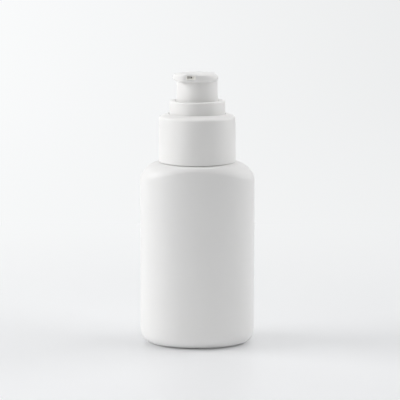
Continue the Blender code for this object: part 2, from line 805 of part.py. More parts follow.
def head_circle(radius, height):
    """Round ring of the head."""
    return head_ring([radius for angle in spout_angles()], [height for angle in spout_angles()])


def brow_ring(inset, lift):
    """Ring of the brow just above its underside; at the back it stays on the head's wall."""
    radii = [max(egg_radius(angle, inset), head_top_radius) for angle in spout_angles()]
    heights = [underside(radius, angle) + lift for angle, radius in zip(spout_angles(), radii)]
    return head_ring(radii, heights)


def top_ring(roll):
    """Ring of the rounded top edge; the top rises to the spout, and the edge is sharper over the flat front."""
    points = []
    for angle in spout_angles():
        radius = egg_radius(angle, TOP_ROUND * (1 - math.cos(roll)))
        bearing = abs(math.degrees(math.remainder(angle, 2 * math.pi)))
        ease = min(1, FACET_EDGE_SHARE + (1 - FACET_EDGE_SHARE) * bearing / FACET_EASE_ANGLE)
        height = head_top + TOP_RISE * towards_tip(radius, angle) - TOP_DROP * ease * (1 - math.sin(roll))
        points.append((-radius * math.sin(angle), -radius * math.cos(angle), height))
    return points


wall_heights = [underside(head_top_radius, angle) for angle in spout_angles()]
head_rings = [[(0, 0, head_bottom)]]
head_rings.append(head_circle(head_radius - HEAD_FOOT_ROUND, head_bottom))
head_rings.append(head_circle(head_radius, head_bottom + HEAD_FOOT_ROUND))
head_rings.append(head_ring([head_top_radius for angle in spout_angles()], wall_heights))
for step in range(BROW_EDGE_STEPS + 1):
    roll = math.pi / 2 * step / BROW_EDGE_STEPS
    edge_lift = BROW_EDGE_LIFT + BROW_EDGE_ROUND * (1 - math.cos(roll))
    head_rings.append(brow_ring(BROW_EDGE_ROUND * (1 - math.sin(roll)), edge_lift))
head_rings += [top_ring(math.pi / 2 * step / TOP_STEPS) for step in range(TOP_STEPS + 1)]
head_rings.append([(0, -BROW_OFFSET / 2, head_top + TOP_RISE * towards_tip(BROW_OFFSET / 2, 0))])
actuator = add_piece("actuator_cover", skin("actuator_cover", head_rings), white, actuator_axis, head_bottom)

# Hollows of the actuator: skirt, stem socket, chimney, channel and pocket
socket_tube_radius = piston_bore + SOCKET_TUBE_WALL
skirt_bore = head_radius - HEAD_WALL
hollow_top = head_top - HOLLOW_ROOF
chimney_top = mouth_height + CHANNEL_RADIUS
below_head = head_bottom - OVERRUN


def turned_cutter(name, corners):
    """Turned cutter on the actuator's axis."""
    cutter = add_cutter(name, profile_mesh(name, outline(corners), False), actuator_axis)
    turn_about_axis(cutter, INNER_SEGMENTS)
    return cutter


cut(actuator, turned_cutter("skirt_hollow", [
    (0, socket_tube_bottom),
    (socket_tube_radius, socket_tube_bottom),
    (socket_tube_radius, hollow_top),
    (skirt_bore - HEAD_DRAFT, hollow_top, RIM_ROUND),
    (skirt_bore, below_head),
    (0, below_head),
]))
cut(actuator, turned_cutter("stem_socket", [
    (0, chimney_top),
    (CHIMNEY_RADIUS, chimney_top),
    (CHIMNEY_RADIUS, stem_top + SEAT_GAP),
    (piston_bore, stem_top + SEAT_GAP),
    (piston_bore, below_head),
    (0, below_head),
]))


def round_bar(name, radius, length, middle):
    """Round bar along the spout, for a bore."""
    bar = bmesh.new()
    bmesh.ops.create_cone(bar, cap_ends=True, segments=CHANNEL_SEGMENTS,
                          radius1=radius, radius2=radius, depth=length)
    mesh = bpy.data.meshes.new(name)
    bar.to_mesh(mesh)
    bar.free()
    return facing_spout(mesh, middle, mouth_height)


channel_reach = pocket_back + OVERRUN
cut(actuator, add_cutter("channel", round_bar("channel", CHANNEL_RADIUS, channel_reach, channel_reach / 2),
                         actuator_axis))
pocket_reach = POCKET_DEPTH + OVERRUN
pocket_mesh = extruded("pocket", rounded_rectangle(POCKET_WIDTH, POCKET_HEIGHT, POCKET_CORNER), pocket_reach)
facing_spout(pocket_mesh, pocket_back + pocket_reach / 2, mouth_height)
cut(actuator, add_cutter("pocket", pocket_mesh, actuator_axis))


def mouth_ring(distance, flare):
    """Ring of the mouth at a distance from the axis; it flares to both sides and downwards."""
    plan = rounded_rectangle(POCKET_WIDTH + 2 * MOUTH_FLARE * flare,
                             POCKET_HEIGHT + MOUTH_FLARE_DOWN * flare, POCKET_CORNER)
    return [(x, -distance, mouth_height - MOUTH_FLARE_DOWN * flare / 2 + z) for x, z in plan]


mouth_back = facet_distance - MOUTH_DEPTH
mouth_overrun = 1 + OVERRUN / MOUTH_DEPTH
mouth_mesh = skin("mouth", [
    [(0, -mouth_back, mouth_height)],
    mouth_ring(mouth_back, 0),
    mouth_ring(facet_distance + OVERRUN, mouth_overrun),
    [(0, -facet_distance - OVERRUN, mouth_height)],
])
cut(actuator, add_cutter("mouth", mouth_mesh, actuator_axis))

# Nozzle core: insert at the back of the mouth, with a narrow bore that opens into the slot
core_outline = rounded_rectangle(POCKET_WIDTH - 2 * RUNNING_GAP, POCKET_HEIGHT - 2 * RUNNING_GAP,
                                 POCKET_CORNER - RUNNING_GAP)
core_length = POCKET_DEPTH - MOUTH_DEPTH - SEAT_GAP
core_middle = pocket_back + SEAT_GAP + core_length / 2
core_mesh = facing_spout(extruded("nozzle_core", core_outline, core_length), core_middle, mouth_height)
core = add_piece("nozzle_core", core_mesh, white, actuator_axis, mouth_height)
cut(core, add_cutter("core_bore", round_bar("core_bore", CORE_BORE_RADIUS, POCKET_DEPTH, core_middle),
                     actuator_axis))
slot_reach = SLOT_DEPTH + OVERRUN
slot_mesh = extruded("slot", rounded_rectangle(SLOT_WIDTH, SLOT_HEIGHT, SLOT_CORNER), slot_reach)
facing_spout(slot_mesh, mouth_back - SLOT_DEPTH + slot_reach / 2, mouth_height)
cut(core, add_cutter("slot", slot_mesh, actuator_axis))
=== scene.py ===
import math

import bmesh
import bpy
from mathutils import Matrix, Vector


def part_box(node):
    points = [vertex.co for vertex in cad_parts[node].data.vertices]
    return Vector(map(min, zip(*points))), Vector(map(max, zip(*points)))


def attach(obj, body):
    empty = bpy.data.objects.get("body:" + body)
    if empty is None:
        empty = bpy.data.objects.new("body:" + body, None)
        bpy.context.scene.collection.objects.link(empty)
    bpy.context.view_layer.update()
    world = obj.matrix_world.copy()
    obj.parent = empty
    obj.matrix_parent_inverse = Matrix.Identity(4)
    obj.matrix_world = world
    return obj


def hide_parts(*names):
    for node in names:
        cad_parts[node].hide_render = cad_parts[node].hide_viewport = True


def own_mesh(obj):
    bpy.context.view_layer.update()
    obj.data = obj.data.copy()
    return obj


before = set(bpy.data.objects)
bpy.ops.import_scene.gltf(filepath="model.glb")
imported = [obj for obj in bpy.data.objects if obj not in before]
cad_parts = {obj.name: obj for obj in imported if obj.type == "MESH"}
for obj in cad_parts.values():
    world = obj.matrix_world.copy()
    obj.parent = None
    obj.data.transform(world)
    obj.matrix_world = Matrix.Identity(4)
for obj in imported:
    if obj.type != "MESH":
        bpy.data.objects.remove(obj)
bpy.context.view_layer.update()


# Bottle: extrusion blow-moulded high-density polyethylene, an oval that turns round at the neck.
# The tube of melt is pinched and blown between two halves that part across the wide sides,
# so a fine parting line runs up both narrow sides and a pinched seam crosses the hollow of the base.
BODY_HEIGHT = 0.0683
BODY_HALF_WIDTH = 0.0213
BODY_HALF_DEPTH = 0.0157
BODY_WALL = 0.0010
OVAL_POWER = 2.1
SHOULDER_START = 0.0132
SHOULDER_POWER = 1.85
SHOULDER_DROP_SHARE = 0.88
FOOT_RADIUS = 0.0048
RIM_INSET = 0.0074
RIM_ROUND = 0.0003
RECESS_SLOPE = 0.0016
RECESS_DEPTH = 0.0008
RECESS_LOOPS = (0.003, 0.0004, 0)
NECK_RADIUS = 0.0108
NECK_BORE = 0.0089
NECK_TOP = 0.0793
NECK_FILLET = 0.0008
BEAD_RADIUS = 0.0117
BEAD_BOTTOM = 0.0697
BEAD_TOP = 0.0709
THREAD_PITCH = 0.003175
THREAD_FOOT = 0.0724
THREAD_TURNS = 1.5
THREAD_FADE_TURNS = 0.12
THREAD_POINTS = 160
THREAD_OVERLAP = 0.0002
NECK_THREAD_DEPTH = 0.00115
NECK_THREAD_ROOT = 0.0021
NECK_THREAD_CREST = 0.0008
SEAM_LENGTH = 0.0195
SEAM_WIDTH = 0.0008
SEAM_RISE = 0.0003
BODY_COLUMNS = 256
WELD_DISTANCE = 0.000001


class Formula:
    """Socket that can be used in sums; each step adds one Math node to its tree."""

    def __init__(self, tree, socket):
        self.tree = tree
        self.socket = socket

    def step(self, operation, *values):
        node = self.tree.nodes.new("ShaderNodeMath")
        node.operation = operation
        for slot, value in zip(node.inputs, (self, *values)):
            if isinstance(value, Formula):
                self.tree.links.new(value.socket, slot)
            else:
                slot.default_value = value
        return Formula(self.tree, node.outputs[0])

    def __add__(self, value):
        return self.step("ADD", value)

    def __sub__(self, value):
        return self.step("SUBTRACT", value)

    def __mul__(self, value):
        return self.step("MULTIPLY", value)

    def __truediv__(self, value):
        return self.step("DIVIDE", value)

    def signed_power(self, exponent):
        return self.step("ABSOLUTE").step("POWER", exponent) * self.step("SIGN")

    def clamped(self):
        return self.step("MAXIMUM", 0.0).step("MINIMUM", 1.0)


class Tree:
    """Node tree with named sockets, written node by node."""

    def __init__(self, name, kind, inputs, outputs):
        self.tree = bpy.data.node_groups.new(name, kind)
        for side, sockets in (("INPUT", inputs), ("OUTPUT", outputs)):
            for label, socket_kind in sockets:
                self.tree.interface.new_socket(label, in_out=side,
                                               socket_type="NodeSocket" + socket_kind)
        self.source = self.tree.nodes.new("NodeGroupInput")
        self.result = self.tree.nodes.new("NodeGroupOutput")

    def given(self, label):
        return Formula(self.tree, self.source.outputs[label])

    def node(self, kind, settings=None, **values):
        """Add a node; inputs are named with underscores for spaces."""
        node = self.tree.nodes.new(kind)
        for label, value in (settings or {}).items():
            setattr(node, label, value)
        for label, value in values.items():
            self.feed(node.inputs[label.replace("_", " ")], value)
        return node

    def feed(self, slot, value):
        if isinstance(value, Formula):
            self.tree.links.new(value.socket, slot)
        elif isinstance(value, bpy.types.NodeSocket):
            self.tree.links.new(value, slot)
        else:
            slot.default_value = value

    def formula(self, socket):
        return Formula(self.tree, socket)

    def parts(self, vector):
        """The three parts of a vector socket."""
        split = self.node("ShaderNodeSeparateXYZ", Vector=vector)
        return [self.formula(socket) for socket in split.outputs]

    def vector(self, x, y, z):
        return self.node("ShaderNodeCombineXYZ", X=x, Y=y, Z=z).outputs[0]

    def close_mesh(self, mesh):
        """Weld the seams, make the result real and give it its material."""
        welded = self.node("GeometryNodeMergeByDistance", Geometry=mesh, Distance=WELD_DISTANCE)
        real = self.node("GeometryNodeRealizeInstances", Geometry=welded.outputs[0])
        finished = self.node("GeometryNodeSetMaterial", Geometry=real.outputs[0],
                             Material=self.given("Material"))
        self.feed(self.result.inputs[0], finished.outputs[0])


def section_loft():
    """Loft through stations: start radius, height, share across to the oval, inset, share of fall."""
    loft = Tree("section_loft", "GeometryNodeTree",
                [("Stations", "Geometry"), ("Columns", "Int"), ("Half Width", "Float"),
                 ("Half Depth", "Float"), ("Oval Power", "Float"), ("Drop Share", "Float"),
                 ("Material", "Material")],
                [("Geometry", "Geometry")])
    stations = loft.source.outputs["Stations"]
    columns = loft.given("Columns")
    size = loft.node("GeometryNodeAttributeDomainSize", {"component": "MESH"}, Geometry=stations)
    count = loft.formula(size.outputs["Point Count"])
    grid = loft.node("GeometryNodeMeshGrid", Size_X=1.0, Size_Y=1.0, Vertices_X=columns + 1.0,
                     Vertices_Y=count)
    index = loft.formula(loft.node("GeometryNodeInputIndex").outputs[0])
    column = (index / count).step("FLOOR")
    row = index - column * count
    angle = column / columns * math.tau
    kept = []
    lay = loft.node("GeometryNodeInputNamedAttribute", {"data_type": "FLOAT_VECTOR"}, Name="lay")
    for value in (loft.node("GeometryNodeInputPosition").outputs[0], lay.outputs["Attribute"]):
        sample = loft.node("GeometryNodeSampleIndex", {"data_type": "FLOAT_VECTOR"}, Geometry=stations)
        loft.feed(sample.inputs["Value"], value)
        loft.feed(sample.inputs["Index"], row)
        kept.append(loft.parts(sample.outputs["Value"]))
    (start, unused, height), (across, inset, fall) = kept
    cosine = angle.step("COSINE")
    sine = angle.step("SINE")
    power = loft.given("Oval Power").step("POWER", -1.0) * 2.0
    wide = (loft.given("Half Width") - inset) * cosine.signed_power(power)
    deep = (loft.given("Half Depth") - inset) * sine.signed_power(power)
    overhang = (wide * wide + deep * deep).step("SQRT") - start
    x = start * cosine
    y = start * sine
    place = loft.vector(x + (wide - x) * across, y + (deep - y) * across,
                        height - fall * overhang * loft.given("Drop Share"))
    moved = loft.node("GeometryNodeSetPosition", Geometry=grid.outputs["Mesh"], Position=place)
    loft.close_mesh(moved.outputs[0])
    return loft.tree


def plain_mesh(piece):
    """Keep what a piece's modifiers make of it as its own mesh, and remove them."""
    finished = piece.evaluated_get(bpy.context.evaluated_depsgraph_get())
    mesh = bpy.data.meshes.new_from_object(finished)
    piece.modifiers.clear()
    piece.data = mesh
    return mesh


def made_by(tree, name, start=None, **values):
    """Run a geometry tree and keep its result as a plain mesh object; inputs go by identifier."""
    piece = bpy.data.objects.new(name, start or bpy.data.meshes.new(name))
    bpy.context.scene.collection.objects.link(piece)
    step = piece.modifiers.new(tree.name, "NODES")
    step.node_group = tree
    for socket in tree.interface.items_tree:
        label = socket.name.replace(" ", "_").lower()
        if socket.in_out == "INPUT" and label in values:
            step[socket.identifier] = values[label]
    mesh = plain_mesh(piece)
    mesh.name = name
    mesh.materials.clear()
    mesh.materials.append(values["material"])
    mesh.polygons.foreach_set("material_index", [0] * len(mesh.polygons))
    soften(mesh)
    return piece


def soften(mesh, angle=30.0):
    """Smooth shading with the real edges kept sharp."""
    mesh.shade_smooth()
    mesh.set_sharp_from_angle(angle=math.radians(angle))


def joined(name, *pieces):
    """One object from several closed meshes."""
    shape = bmesh.new()
    for piece in pieces:
        shape.from_mesh(piece.data)
    finish = pieces[0].data.materials[0]
    mesh = bpy.data.meshes.new(name)
    shape.to_mesh(mesh)
    shape.free()
    mesh.materials.append(finish)
    soften(mesh)
    for piece in pieces:
        bpy.data.objects.remove(piece)
    whole = bpy.data.objects.new(name, mesh)
    bpy.context.scene.collection.objects.link(whole)
    return whole


def skin_object(name, rings, material):
    """Closed skin through rings of points; a one-point ring is a pole, a larger end ring a flat cap."""
    shape = bmesh.new()
    rows = [[shape.verts.new(point) for point in ring] for ring in rings]
    for lower, upper in zip(rows, rows[1:]):
        count = max(len(lower), len(upper))
        for index in range(count):
            following = (index + 1) % count
            corners = [lower[index % len(lower)], lower[following % len(lower)],
                       upper[following % len(upper)], upper[index % len(upper)]]
            shape.faces.new(list(dict.fromkeys(corners)))
    for end in (rows[0], rows[-1]):
        if len(end) > 1:
            shape.faces.new(end)
    bmesh.ops.recalc_face_normals(shape, faces=shape.faces[:])
    mesh = bpy.data.meshes.new(name)
    shape.to_mesh(mesh)
    shape.free()
    mesh.materials.append(material)
    skin = bpy.data.objects.new(name, mesh)
    bpy.context.scene.collection.objects.link(skin)
    return skin


LOFT = section_loft()


def loft_through(name, stations, material, columns):
    """Skin through stations that run up the outside and down the inside."""
    wire = bpy.data.meshes.new(name)
    wire.from_pydata([(radius, 0, height) for radius, height, *lay in stations], [], [])
    attribute = wire.attributes.new("lay", "FLOAT_VECTOR", "POINT")
    lays = [part for station in stations for part in (*station[2:], 0, 0, 0)[:3]]
    attribute.data.foreach_set("vector", lays)
    return made_by(LOFT, name, wire, columns=columns, half_width=BODY_HALF_WIDTH,
                   half_depth=BODY_HALF_DEPTH, oval_power=OVAL_POWER, drop_share=SHOULDER_DROP_SHARE,
                   material=material)


WIRE_SIDES = 16
FADED_SHARE = 0.05


def helix_rod():
    """Rod along a screw line: a round wire or a trapezium ridge, with closed turns or faded ends."""
    rod = Tree("helix_rod", "GeometryNodeTree",
               [("Points", "Int"), ("Turns", "Float"), ("Radius", "Float"), ("Foot", "Float"),
                ("Pitch", "Float"), ("Closed Turns", "Float"), ("Closed Pitch", "Float"),
                ("Fade Turns", "Float"), ("Depth", "Float"), ("Root", "Float"), ("Crest", "Float"),
                ("Round Wire", "Bool"), ("Material", "Material")],
               [("Geometry", "Geometry")])
    line = rod.node("GeometryNodeCurvePrimitiveLine")
    path = rod.node("GeometryNodeResampleCurve", {"mode": "COUNT"}, Curve=line.outputs[0],
                    Count=rod.given("Points"))
    index = rod.formula(rod.node("GeometryNodeInputIndex").outputs[0])
    turns = rod.given("Turns")
    turn = index / (rod.given("Points") - 1.0) * turns
    angle = turn * math.tau
    closed = rod.given("Closed Turns")
    open_turn = (turn - closed).step("MAXIMUM", 0.0).step("MINIMUM", turns - closed - closed)
    closed_pitch = rod.given("Closed Pitch")
    climb = turn * closed_pitch + open_turn * (rod.given("Pitch") - closed_pitch)
    radius = rod.given("Radius")
    place = rod.vector(radius * angle.step("COSINE"), radius * angle.step("SINE"),
                       rod.given("Foot") + climb)
    wound = rod.node("GeometryNodeSetPosition", Geometry=path.outputs[0], Position=place)
    upright = rod.node("GeometryNodeSetCurveNormal", {"mode": "Z_UP"}, Curve=wound.outputs[0])
    fade = rod.given("Fade Turns")
    swell = (turn / fade).step("MINIMUM", (turns - turn) / fade).clamped()
    swell = swell * (1 - FADED_SHARE) + FADED_SHARE
    sized = rod.node("GeometryNodeSetCurveRadius", Curve=upright.outputs[0], Radius=swell)
    root = rod.given("Root") * 0.5
    crest = rod.given("Crest") * 0.5
    ridge = rod.node("GeometryNodeCurvePrimitiveQuadrilateral", {"mode": "POINTS"})
    depth = rod.given("Depth")
    corners = [(0.0, root * -1.0), (depth, crest * -1.0), (depth, crest), (0.0, root)]
    slots = [slot for slot in ridge.inputs if slot.name.startswith("Point")]
    for slot, (out, down) in zip(slots, corners):
        rod.feed(slot, rod.vector(out, down, 0.0))
    wire = rod.node("GeometryNodeCurvePrimitiveCircle", {"mode": "RADIUS"}, Resolution=WIRE_SIDES,
                    Radius=root)
    section = rod.node("GeometryNodeSwitch", {"input_type": "GEOMETRY"}, Switch=rod.given("Round Wire"))
    rod.feed(section.inputs["False"], ridge.outputs[0])
    rod.feed(section.inputs["True"], wire.outputs[0])
    solid = rod.node("GeometryNodeCurveToMesh", Curve=sized.outputs[0],
                     Profile_Curve=section.outputs[0], Fill_Caps=True)
    rod.close_mesh(solid.outputs[0])
    return rod.tree


HELIX = helix_rod()


def point_outwards(piece):
    """Turn the faces of closed shells outwards."""
    shape = bmesh.new()
    shape.from_mesh(piece.data)
    bmesh.ops.recalc_face_normals(shape, faces=shape.faces[:])
    shape.to_mesh(piece.data)
    shape.free()
    return piece


def screw_thread(name, wall, foot, depth, root, crest, material):
    """Screw ridge that is sunk a little into its wall; a negative depth points inwards."""
    sunk = math.copysign(THREAD_OVERLAP, depth)
    return point_outwards(made_by(
        HELIX, name, points=THREAD_POINTS, turns=THREAD_TURNS, radius=wall - sunk, foot=foot,
        pitch=THREAD_PITCH, closed_turns=0.0, closed_pitch=0.0, fade_turns=THREAD_FADE_TURNS,
        depth=depth + sunk, root=root, crest=crest, round_wire=False, material=material))


def shade_group(name, inputs, outputs):
    """Shader group that reads the piece's own coordinates."""
    group = Tree(name, "ShaderNodeTree", inputs, outputs)
    group.place = group.node("ShaderNodeTexCoord").outputs["Object"]
    return group


FACTOR, FIRST_COLOUR, SECOND_COLOUR, MIXED_COLOUR = 0, 6, 7, 2  # sockets of a colour Mix node
GRAIN_WEAR = 0.16
FLOW_WEAR = 0.08
FLOW_RELIEF = 3.0


def moulded_skin():
    """Slow tone of melt flow and fine texture of the mould's steel."""
    group = shade_group("moulded_skin",
                        [("Light Tone", "Color"), ("Deep Tone", "Color"), ("Roughness", "Float"),
                         ("Flow Scale", "Float"), ("Grain Scale", "Float")],
                        [("Color", "Color"), ("Roughness", "Float"), ("Height", "Float")])
    clouds = group.node("ShaderNodeTexNoise", Vector=group.place, Scale=group.given("Flow Scale"),
                        Detail=3.0, Roughness=0.55)
    specks = group.node("ShaderNodeTexNoise", Vector=group.place, Scale=group.given("Grain Scale"),
                        Detail=4.0, Roughness=0.6)
    flow = group.formula(clouds.outputs[0])
    grain = group.formula(specks.outputs[0])
    tone = group.node("ShaderNodeMix", {"data_type": "RGBA"})
    group.feed(tone.inputs[FACTOR], flow)
    group.feed(tone.inputs[FIRST_COLOUR], group.given("Deep Tone"))
    group.feed(tone.inputs[SECOND_COLOUR], group.given("Light Tone"))
    worn = group.given("Roughness") + (grain - 0.5) * GRAIN_WEAR + (flow - 0.5) * FLOW_WEAR
    group.feed(group.result.inputs["Color"], tone.outputs[MIXED_COLOUR])
    group.feed(group.result.inputs["Roughness"], worn)
    group.feed(group.result.inputs["Height"], grain + flow * FLOW_RELIEF)
    return group.tree


SKIN = moulded_skin()


def set_inputs(node, **values):
    """Set a node's inputs, named with underscores for spaces."""
    for label, value in values.items():
        node.inputs[label.replace("_", " ")].default_value = value


def add_skin(material, light, deep, roughness, flow_scale, grain_scale):
    """Lay the skin group's colour and roughness on a material, and return its shader and the group."""
    nodes = material.node_tree.nodes
    links = material.node_tree.links
    shader = nodes["Principled BSDF"]
    skin = nodes.new("ShaderNodeGroup")
    skin.node_tree = SKIN
    set_inputs(skin, Light_Tone=(*light, 1), Deep_Tone=(*deep, 1), Roughness=roughness,
               Flow_Scale=flow_scale, Grain_Scale=grain_scale)
    links.new(skin.outputs["Color"], shader.inputs["Base Color"])
    links.new(skin.outputs["Roughness"], shader.inputs["Roughness"])
    return shader, skin


def plastic(name, light, deep, roughness, flow_scale, grain_scale, relief, specular=0.5, scatter=0.0):
    """Moulded plastic: a Principled shader over the skin group, with its relief as a bump."""
    material = bpy.data.materials.new(name)
    material.use_nodes = True
    shader, skin = add_skin(material, light, deep, roughness, flow_scale, grain_scale)
    set_inputs(shader, Specular_IOR_Level=specular, Subsurface_Weight=1.0 if scatter else 0.0,
               Subsurface_Radius=(1, 1, 1), Subsurface_Scale=scatter)
    bump = material.node_tree.nodes.new("ShaderNodeBump")
    bump.name = "relief"
    set_inputs(bump, Distance=relief, Strength=0.5)
    material.node_tree.links.new(skin.outputs["Height"], bump.inputs["Height"])
    material.node_tree.links.new(bump.outputs["Normal"], shader.inputs["Normal"])
    return material


LINE_TOP = 0.8
LINE_SOFTNESS = 0.2


def parting_line():
    """Mask of a fine raised line where two mould halves met, on the plane Y = 0."""
    group = shade_group("parting_line", [("Width", "Float")], [("Mask", "Float")])
    off_plane = group.parts(group.place)[1].step("ABSOLUTE")
    near = (off_plane / group.given("Width")).clamped() * -1.0 + 1.0
    group.feed(group.result.inputs["Mask"], near.step("SMOOTH_MIN", LINE_TOP, LINE_SOFTNESS))
    return group.tree


bottle_white = plastic("bottle_polyethylene", light=(0.846, 0.842, 0.834), deep=(0.832, 0.827, 0.820),
                       roughness=0.44, flow_scale=70, grain_scale=2600, relief=0.00002, specular=0.3,
                       scatter=0.0008)


def add_parting_line(material, width, rise):
    """Lay the parting line over a plastic's relief."""
    nodes = material.node_tree.nodes
    links = material.node_tree.links
    line = nodes.new("ShaderNodeGroup")
    line.node_tree = parting_line()
    set_inputs(line, Width=width)
    ridge = nodes.new("ShaderNodeBump")
    set_inputs(ridge, Distance=rise)
    links.new(line.outputs["Mask"], ridge.inputs["Height"])
    links.new(nodes["relief"].outputs["Normal"], ridge.inputs["Normal"])
    links.new(ridge.outputs["Normal"], nodes["Principled BSDF"].inputs["Normal"])


add_parting_line(bottle_white, width=0.00018, rise=0.00012)


def foot_stations(steps, wall):
    """Rounded foot, from the standing rim up to the wall."""
    radius = FOOT_RADIUS - wall
    for step in range(steps + 1):
        angle = math.pi / 2 * step / steps
        yield (SHOULDER_START - wall, FOOT_RADIUS - radius * math.cos(angle), 1,
               wall + radius * (1 - math.sin(angle)), 0)


def wall_stations(steps, wall):
    """Straight wall, whose top edge falls with the shoulder."""
    for step in range(1, steps):
        share = step / steps
        height = FOOT_RADIUS + (BODY_HEIGHT - wall - FOOT_RADIUS) * share
        yield (SHOULDER_START - wall, height, 1, wall, share)


def shoulder_stations(steps, wall):
    """Shoulder, from the wall's top edge to the flat round the neck."""
    for step in range(steps + 1):
        angle = math.pi / 2 * (1 - step / steps)
        yield (SHOULDER_START - wall, BODY_HEIGHT - wall, math.sin(angle) ** (2 / SHOULDER_POWER), wall,
               1 - math.cos(angle) ** (2 / SHOULDER_POWER))


def arc(centre_radius, centre_height, radius, start, end, steps):
    """Points of an arc in the profile's plane; angles in degrees from the radial direction."""
    for step in range(steps + 1):
        angle = math.radians(start + (end - start) * step / steps)
        yield (centre_radius + radius * math.cos(angle), centre_height + radius * math.sin(angle),
               0, 0, 0)


def skin_stations(wall, foot_steps, wall_steps, shoulder_steps):
    """Body skin from the middle of the base to the edge of the neck."""
    stations = [(0, wall + RECESS_DEPTH, 0, 0, 0)]
    stations += [(0, wall + RECESS_DEPTH, 1, RIM_INSET + RECESS_SLOPE + loop, 0)
                 for loop in RECESS_LOOPS]
    stations += [(0, wall + RIM_ROUND * RECESS_DEPTH / RECESS_SLOPE, 1, RIM_INSET + RIM_ROUND, 0),
                 (0, wall, 1, RIM_INSET, 0)]
    stations += foot_stations(foot_steps, wall)
    stations += wall_stations(wall_steps, wall)
    stations += shoulder_stations(shoulder_steps, wall)
    return stations


stations = skin_stations(wall=0, foot_steps=16, wall_steps=20, shoulder_steps=48)
stations += arc(NECK_RADIUS + NECK_FILLET, BODY_HEIGHT + NECK_FILLET, NECK_FILLET,
                start=270, end=180, steps=6)
for corner_height, start, end in ((BEAD_BOTTOM + RIM_ROUND, -75, 0), (BEAD_TOP - RIM_ROUND, 0, 75)):
    stations += arc(BEAD_RADIUS - RIM_ROUND, corner_height, RIM_ROUND, start, end, steps=4)
stations += [(NECK_RADIUS, BEAD_TOP, 0, 0, 0)]
for corner_radius, start in ((NECK_RADIUS - RIM_ROUND, 0), (NECK_BORE + RIM_ROUND, 90)):
    stations += arc(corner_radius, NECK_TOP - RIM_ROUND, RIM_ROUND, start, start + 90, steps=5)
stations += arc(NECK_BORE + NECK_FILLET, BODY_HEIGHT - BODY_WALL + NECK_FILLET, NECK_FILLET,
                start=180, end=270, steps=5)
stations += reversed(skin_stations(wall=BODY_WALL, foot_steps=8, wall_steps=8, shoulder_steps=20))
bottle_skin = loft_through("bottle_skin", stations, bottle_white, BODY_COLUMNS)
neck_thread = screw_thread("neck_thread", NECK_RADIUS, THREAD_FOOT, NECK_THREAD_DEPTH,
                           NECK_THREAD_ROOT, NECK_THREAD_CREST, bottle_white)


def pinched_seam(steps=24, corners=8, end_power=6, end_share=0.02):
    """Low bar with rounded ends across the hollow of the base."""
    rings = []
    for step in range(steps + 1):
        along = -SEAM_LENGTH / 2 + SEAM_LENGTH * step / steps
        share = max(1 - abs(2 * along / SEAM_LENGTH) ** end_power, end_share)
        half = SEAM_WIDTH / 2 * share
        angles = [math.pi * corner / corners for corner in range(corners + 1)]
        ring = [(along, half * math.cos(angle), RECESS_DEPTH - SEAM_RISE * share * math.sin(angle))
                for angle in angles]
        rings.append(ring + [(along, side, RECESS_DEPTH + SEAM_RISE) for side in (-half, half)])
    return skin_object("pinched_seam", rings, bottle_white)


bottle = joined("bottle_moulding", bottle_skin, neck_thread, pinched_seam())
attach(bottle, "bottle")
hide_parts("bottle")


# Neck gasket: soft ring punched from foamed polyethylene sheet.
# It lies loose between the neck's rim and the pump's flange, and the closure presses both on it.
WALL_SHARE = 0.49  # most of a wall that one rounding may take


def rounded(corners, steps=5):
    """Profile from corners (radius, height, rounding), each rounding kept within its walls."""
    points = []
    for index, (radius, height, *rounding) in enumerate(corners):
        here = Vector((radius, height))
        if not rounding:
            points.append((radius, height))
            continue
        before = Vector(corners[index - 1][:2]) - here
        after = Vector(corners[(index + 1) % len(corners)][:2]) - here
        half = before.angle(after) / 2
        reach = min(rounding[0] / math.tan(half), WALL_SHARE * min(before.length, after.length))
        bow = reach * math.tan(half)
        middle = here + (before.normalized() + after.normalized()).normalized() * bow / math.sin(half)
        first = here + before.normalized() * reach - middle
        turn = first.angle_signed(here + after.normalized() * reach - middle)
        for step in range(steps + 1):
            arm = first.copy()
            arm.rotate(Matrix.Rotation(-turn * step / steps, 2))
            points.append(tuple(middle + arm))
    return points


def turned(name, corners, material, columns=128, closed=True):
    """Turned piece; its outline runs down the outside and up the inside."""
    points = rounded(corners)
    points.reverse()
    if closed:
        points.append(points[0])
    return loft_through(name, points, material, columns)


gasket_low, gasket_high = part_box("neck_gasket")
GASKET_BORE = 0.0092
GASKET_EDGE = 0.00012
seal_foam = plastic("gasket_foam", light=(0.80, 0.81, 0.80), deep=(0.74, 0.75, 0.75), roughness=0.72,
                    flow_scale=400, grain_scale=5200, relief=0.00006, specular=0.3)
gasket = turned("neck_gasket_ring", [
    (GASKET_BORE, gasket_high.z, GASKET_EDGE),
    (gasket_high.x, gasket_high.z, GASKET_EDGE),
    (gasket_high.x, gasket_low.z, GASKET_EDGE),
    (GASKET_BORE, gasket_low.z, GASKET_EDGE),
], seal_foam)
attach(gasket, "neck_gasket")
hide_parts("neck_gasket")


# Pump housing: natural polypropylene, moulded in one with flange, cup, barrel, cage and tube socket.
# Its core pulls upwards, so the barrel has a little draft. The closure clamps its flange on the gasket.
natural = plastic("natural_polypropylene", light=(0.80, 0.815, 0.81), deep=(0.74, 0.755, 0.752),
                  roughness=0.34, flow_scale=120, grain_scale=3000, relief=0.00001)
housing_low, housing_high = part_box("pump_housing")
CRISP = 0.0001  # roundings of moulded edges, from here to WIDE
FINE = 0.00015
SOFT = 0.0002
FULL = 0.0003
BROAD = 0.0004
WIDE = 0.0005
FLANGE_TOP = housing_high.z
FLANGE_RADIUS = housing_high.x
FLANGE_THICKNESS = 0.0010
CUP_RADIUS = 0.0064
CUP_BORE = 0.0055
CUP_FLOOR = 0.0750
CUP_FOOT = 0.0741
LEAD_IN = 0.0003
BARREL_RADIUS = 0.0047
BARREL_DRAFT = 0.00005
BARREL_BORE = 0.0038
BARREL_TOP = 0.0733
BARREL_FOOT = 0.0561
LEDGE = 0.0570
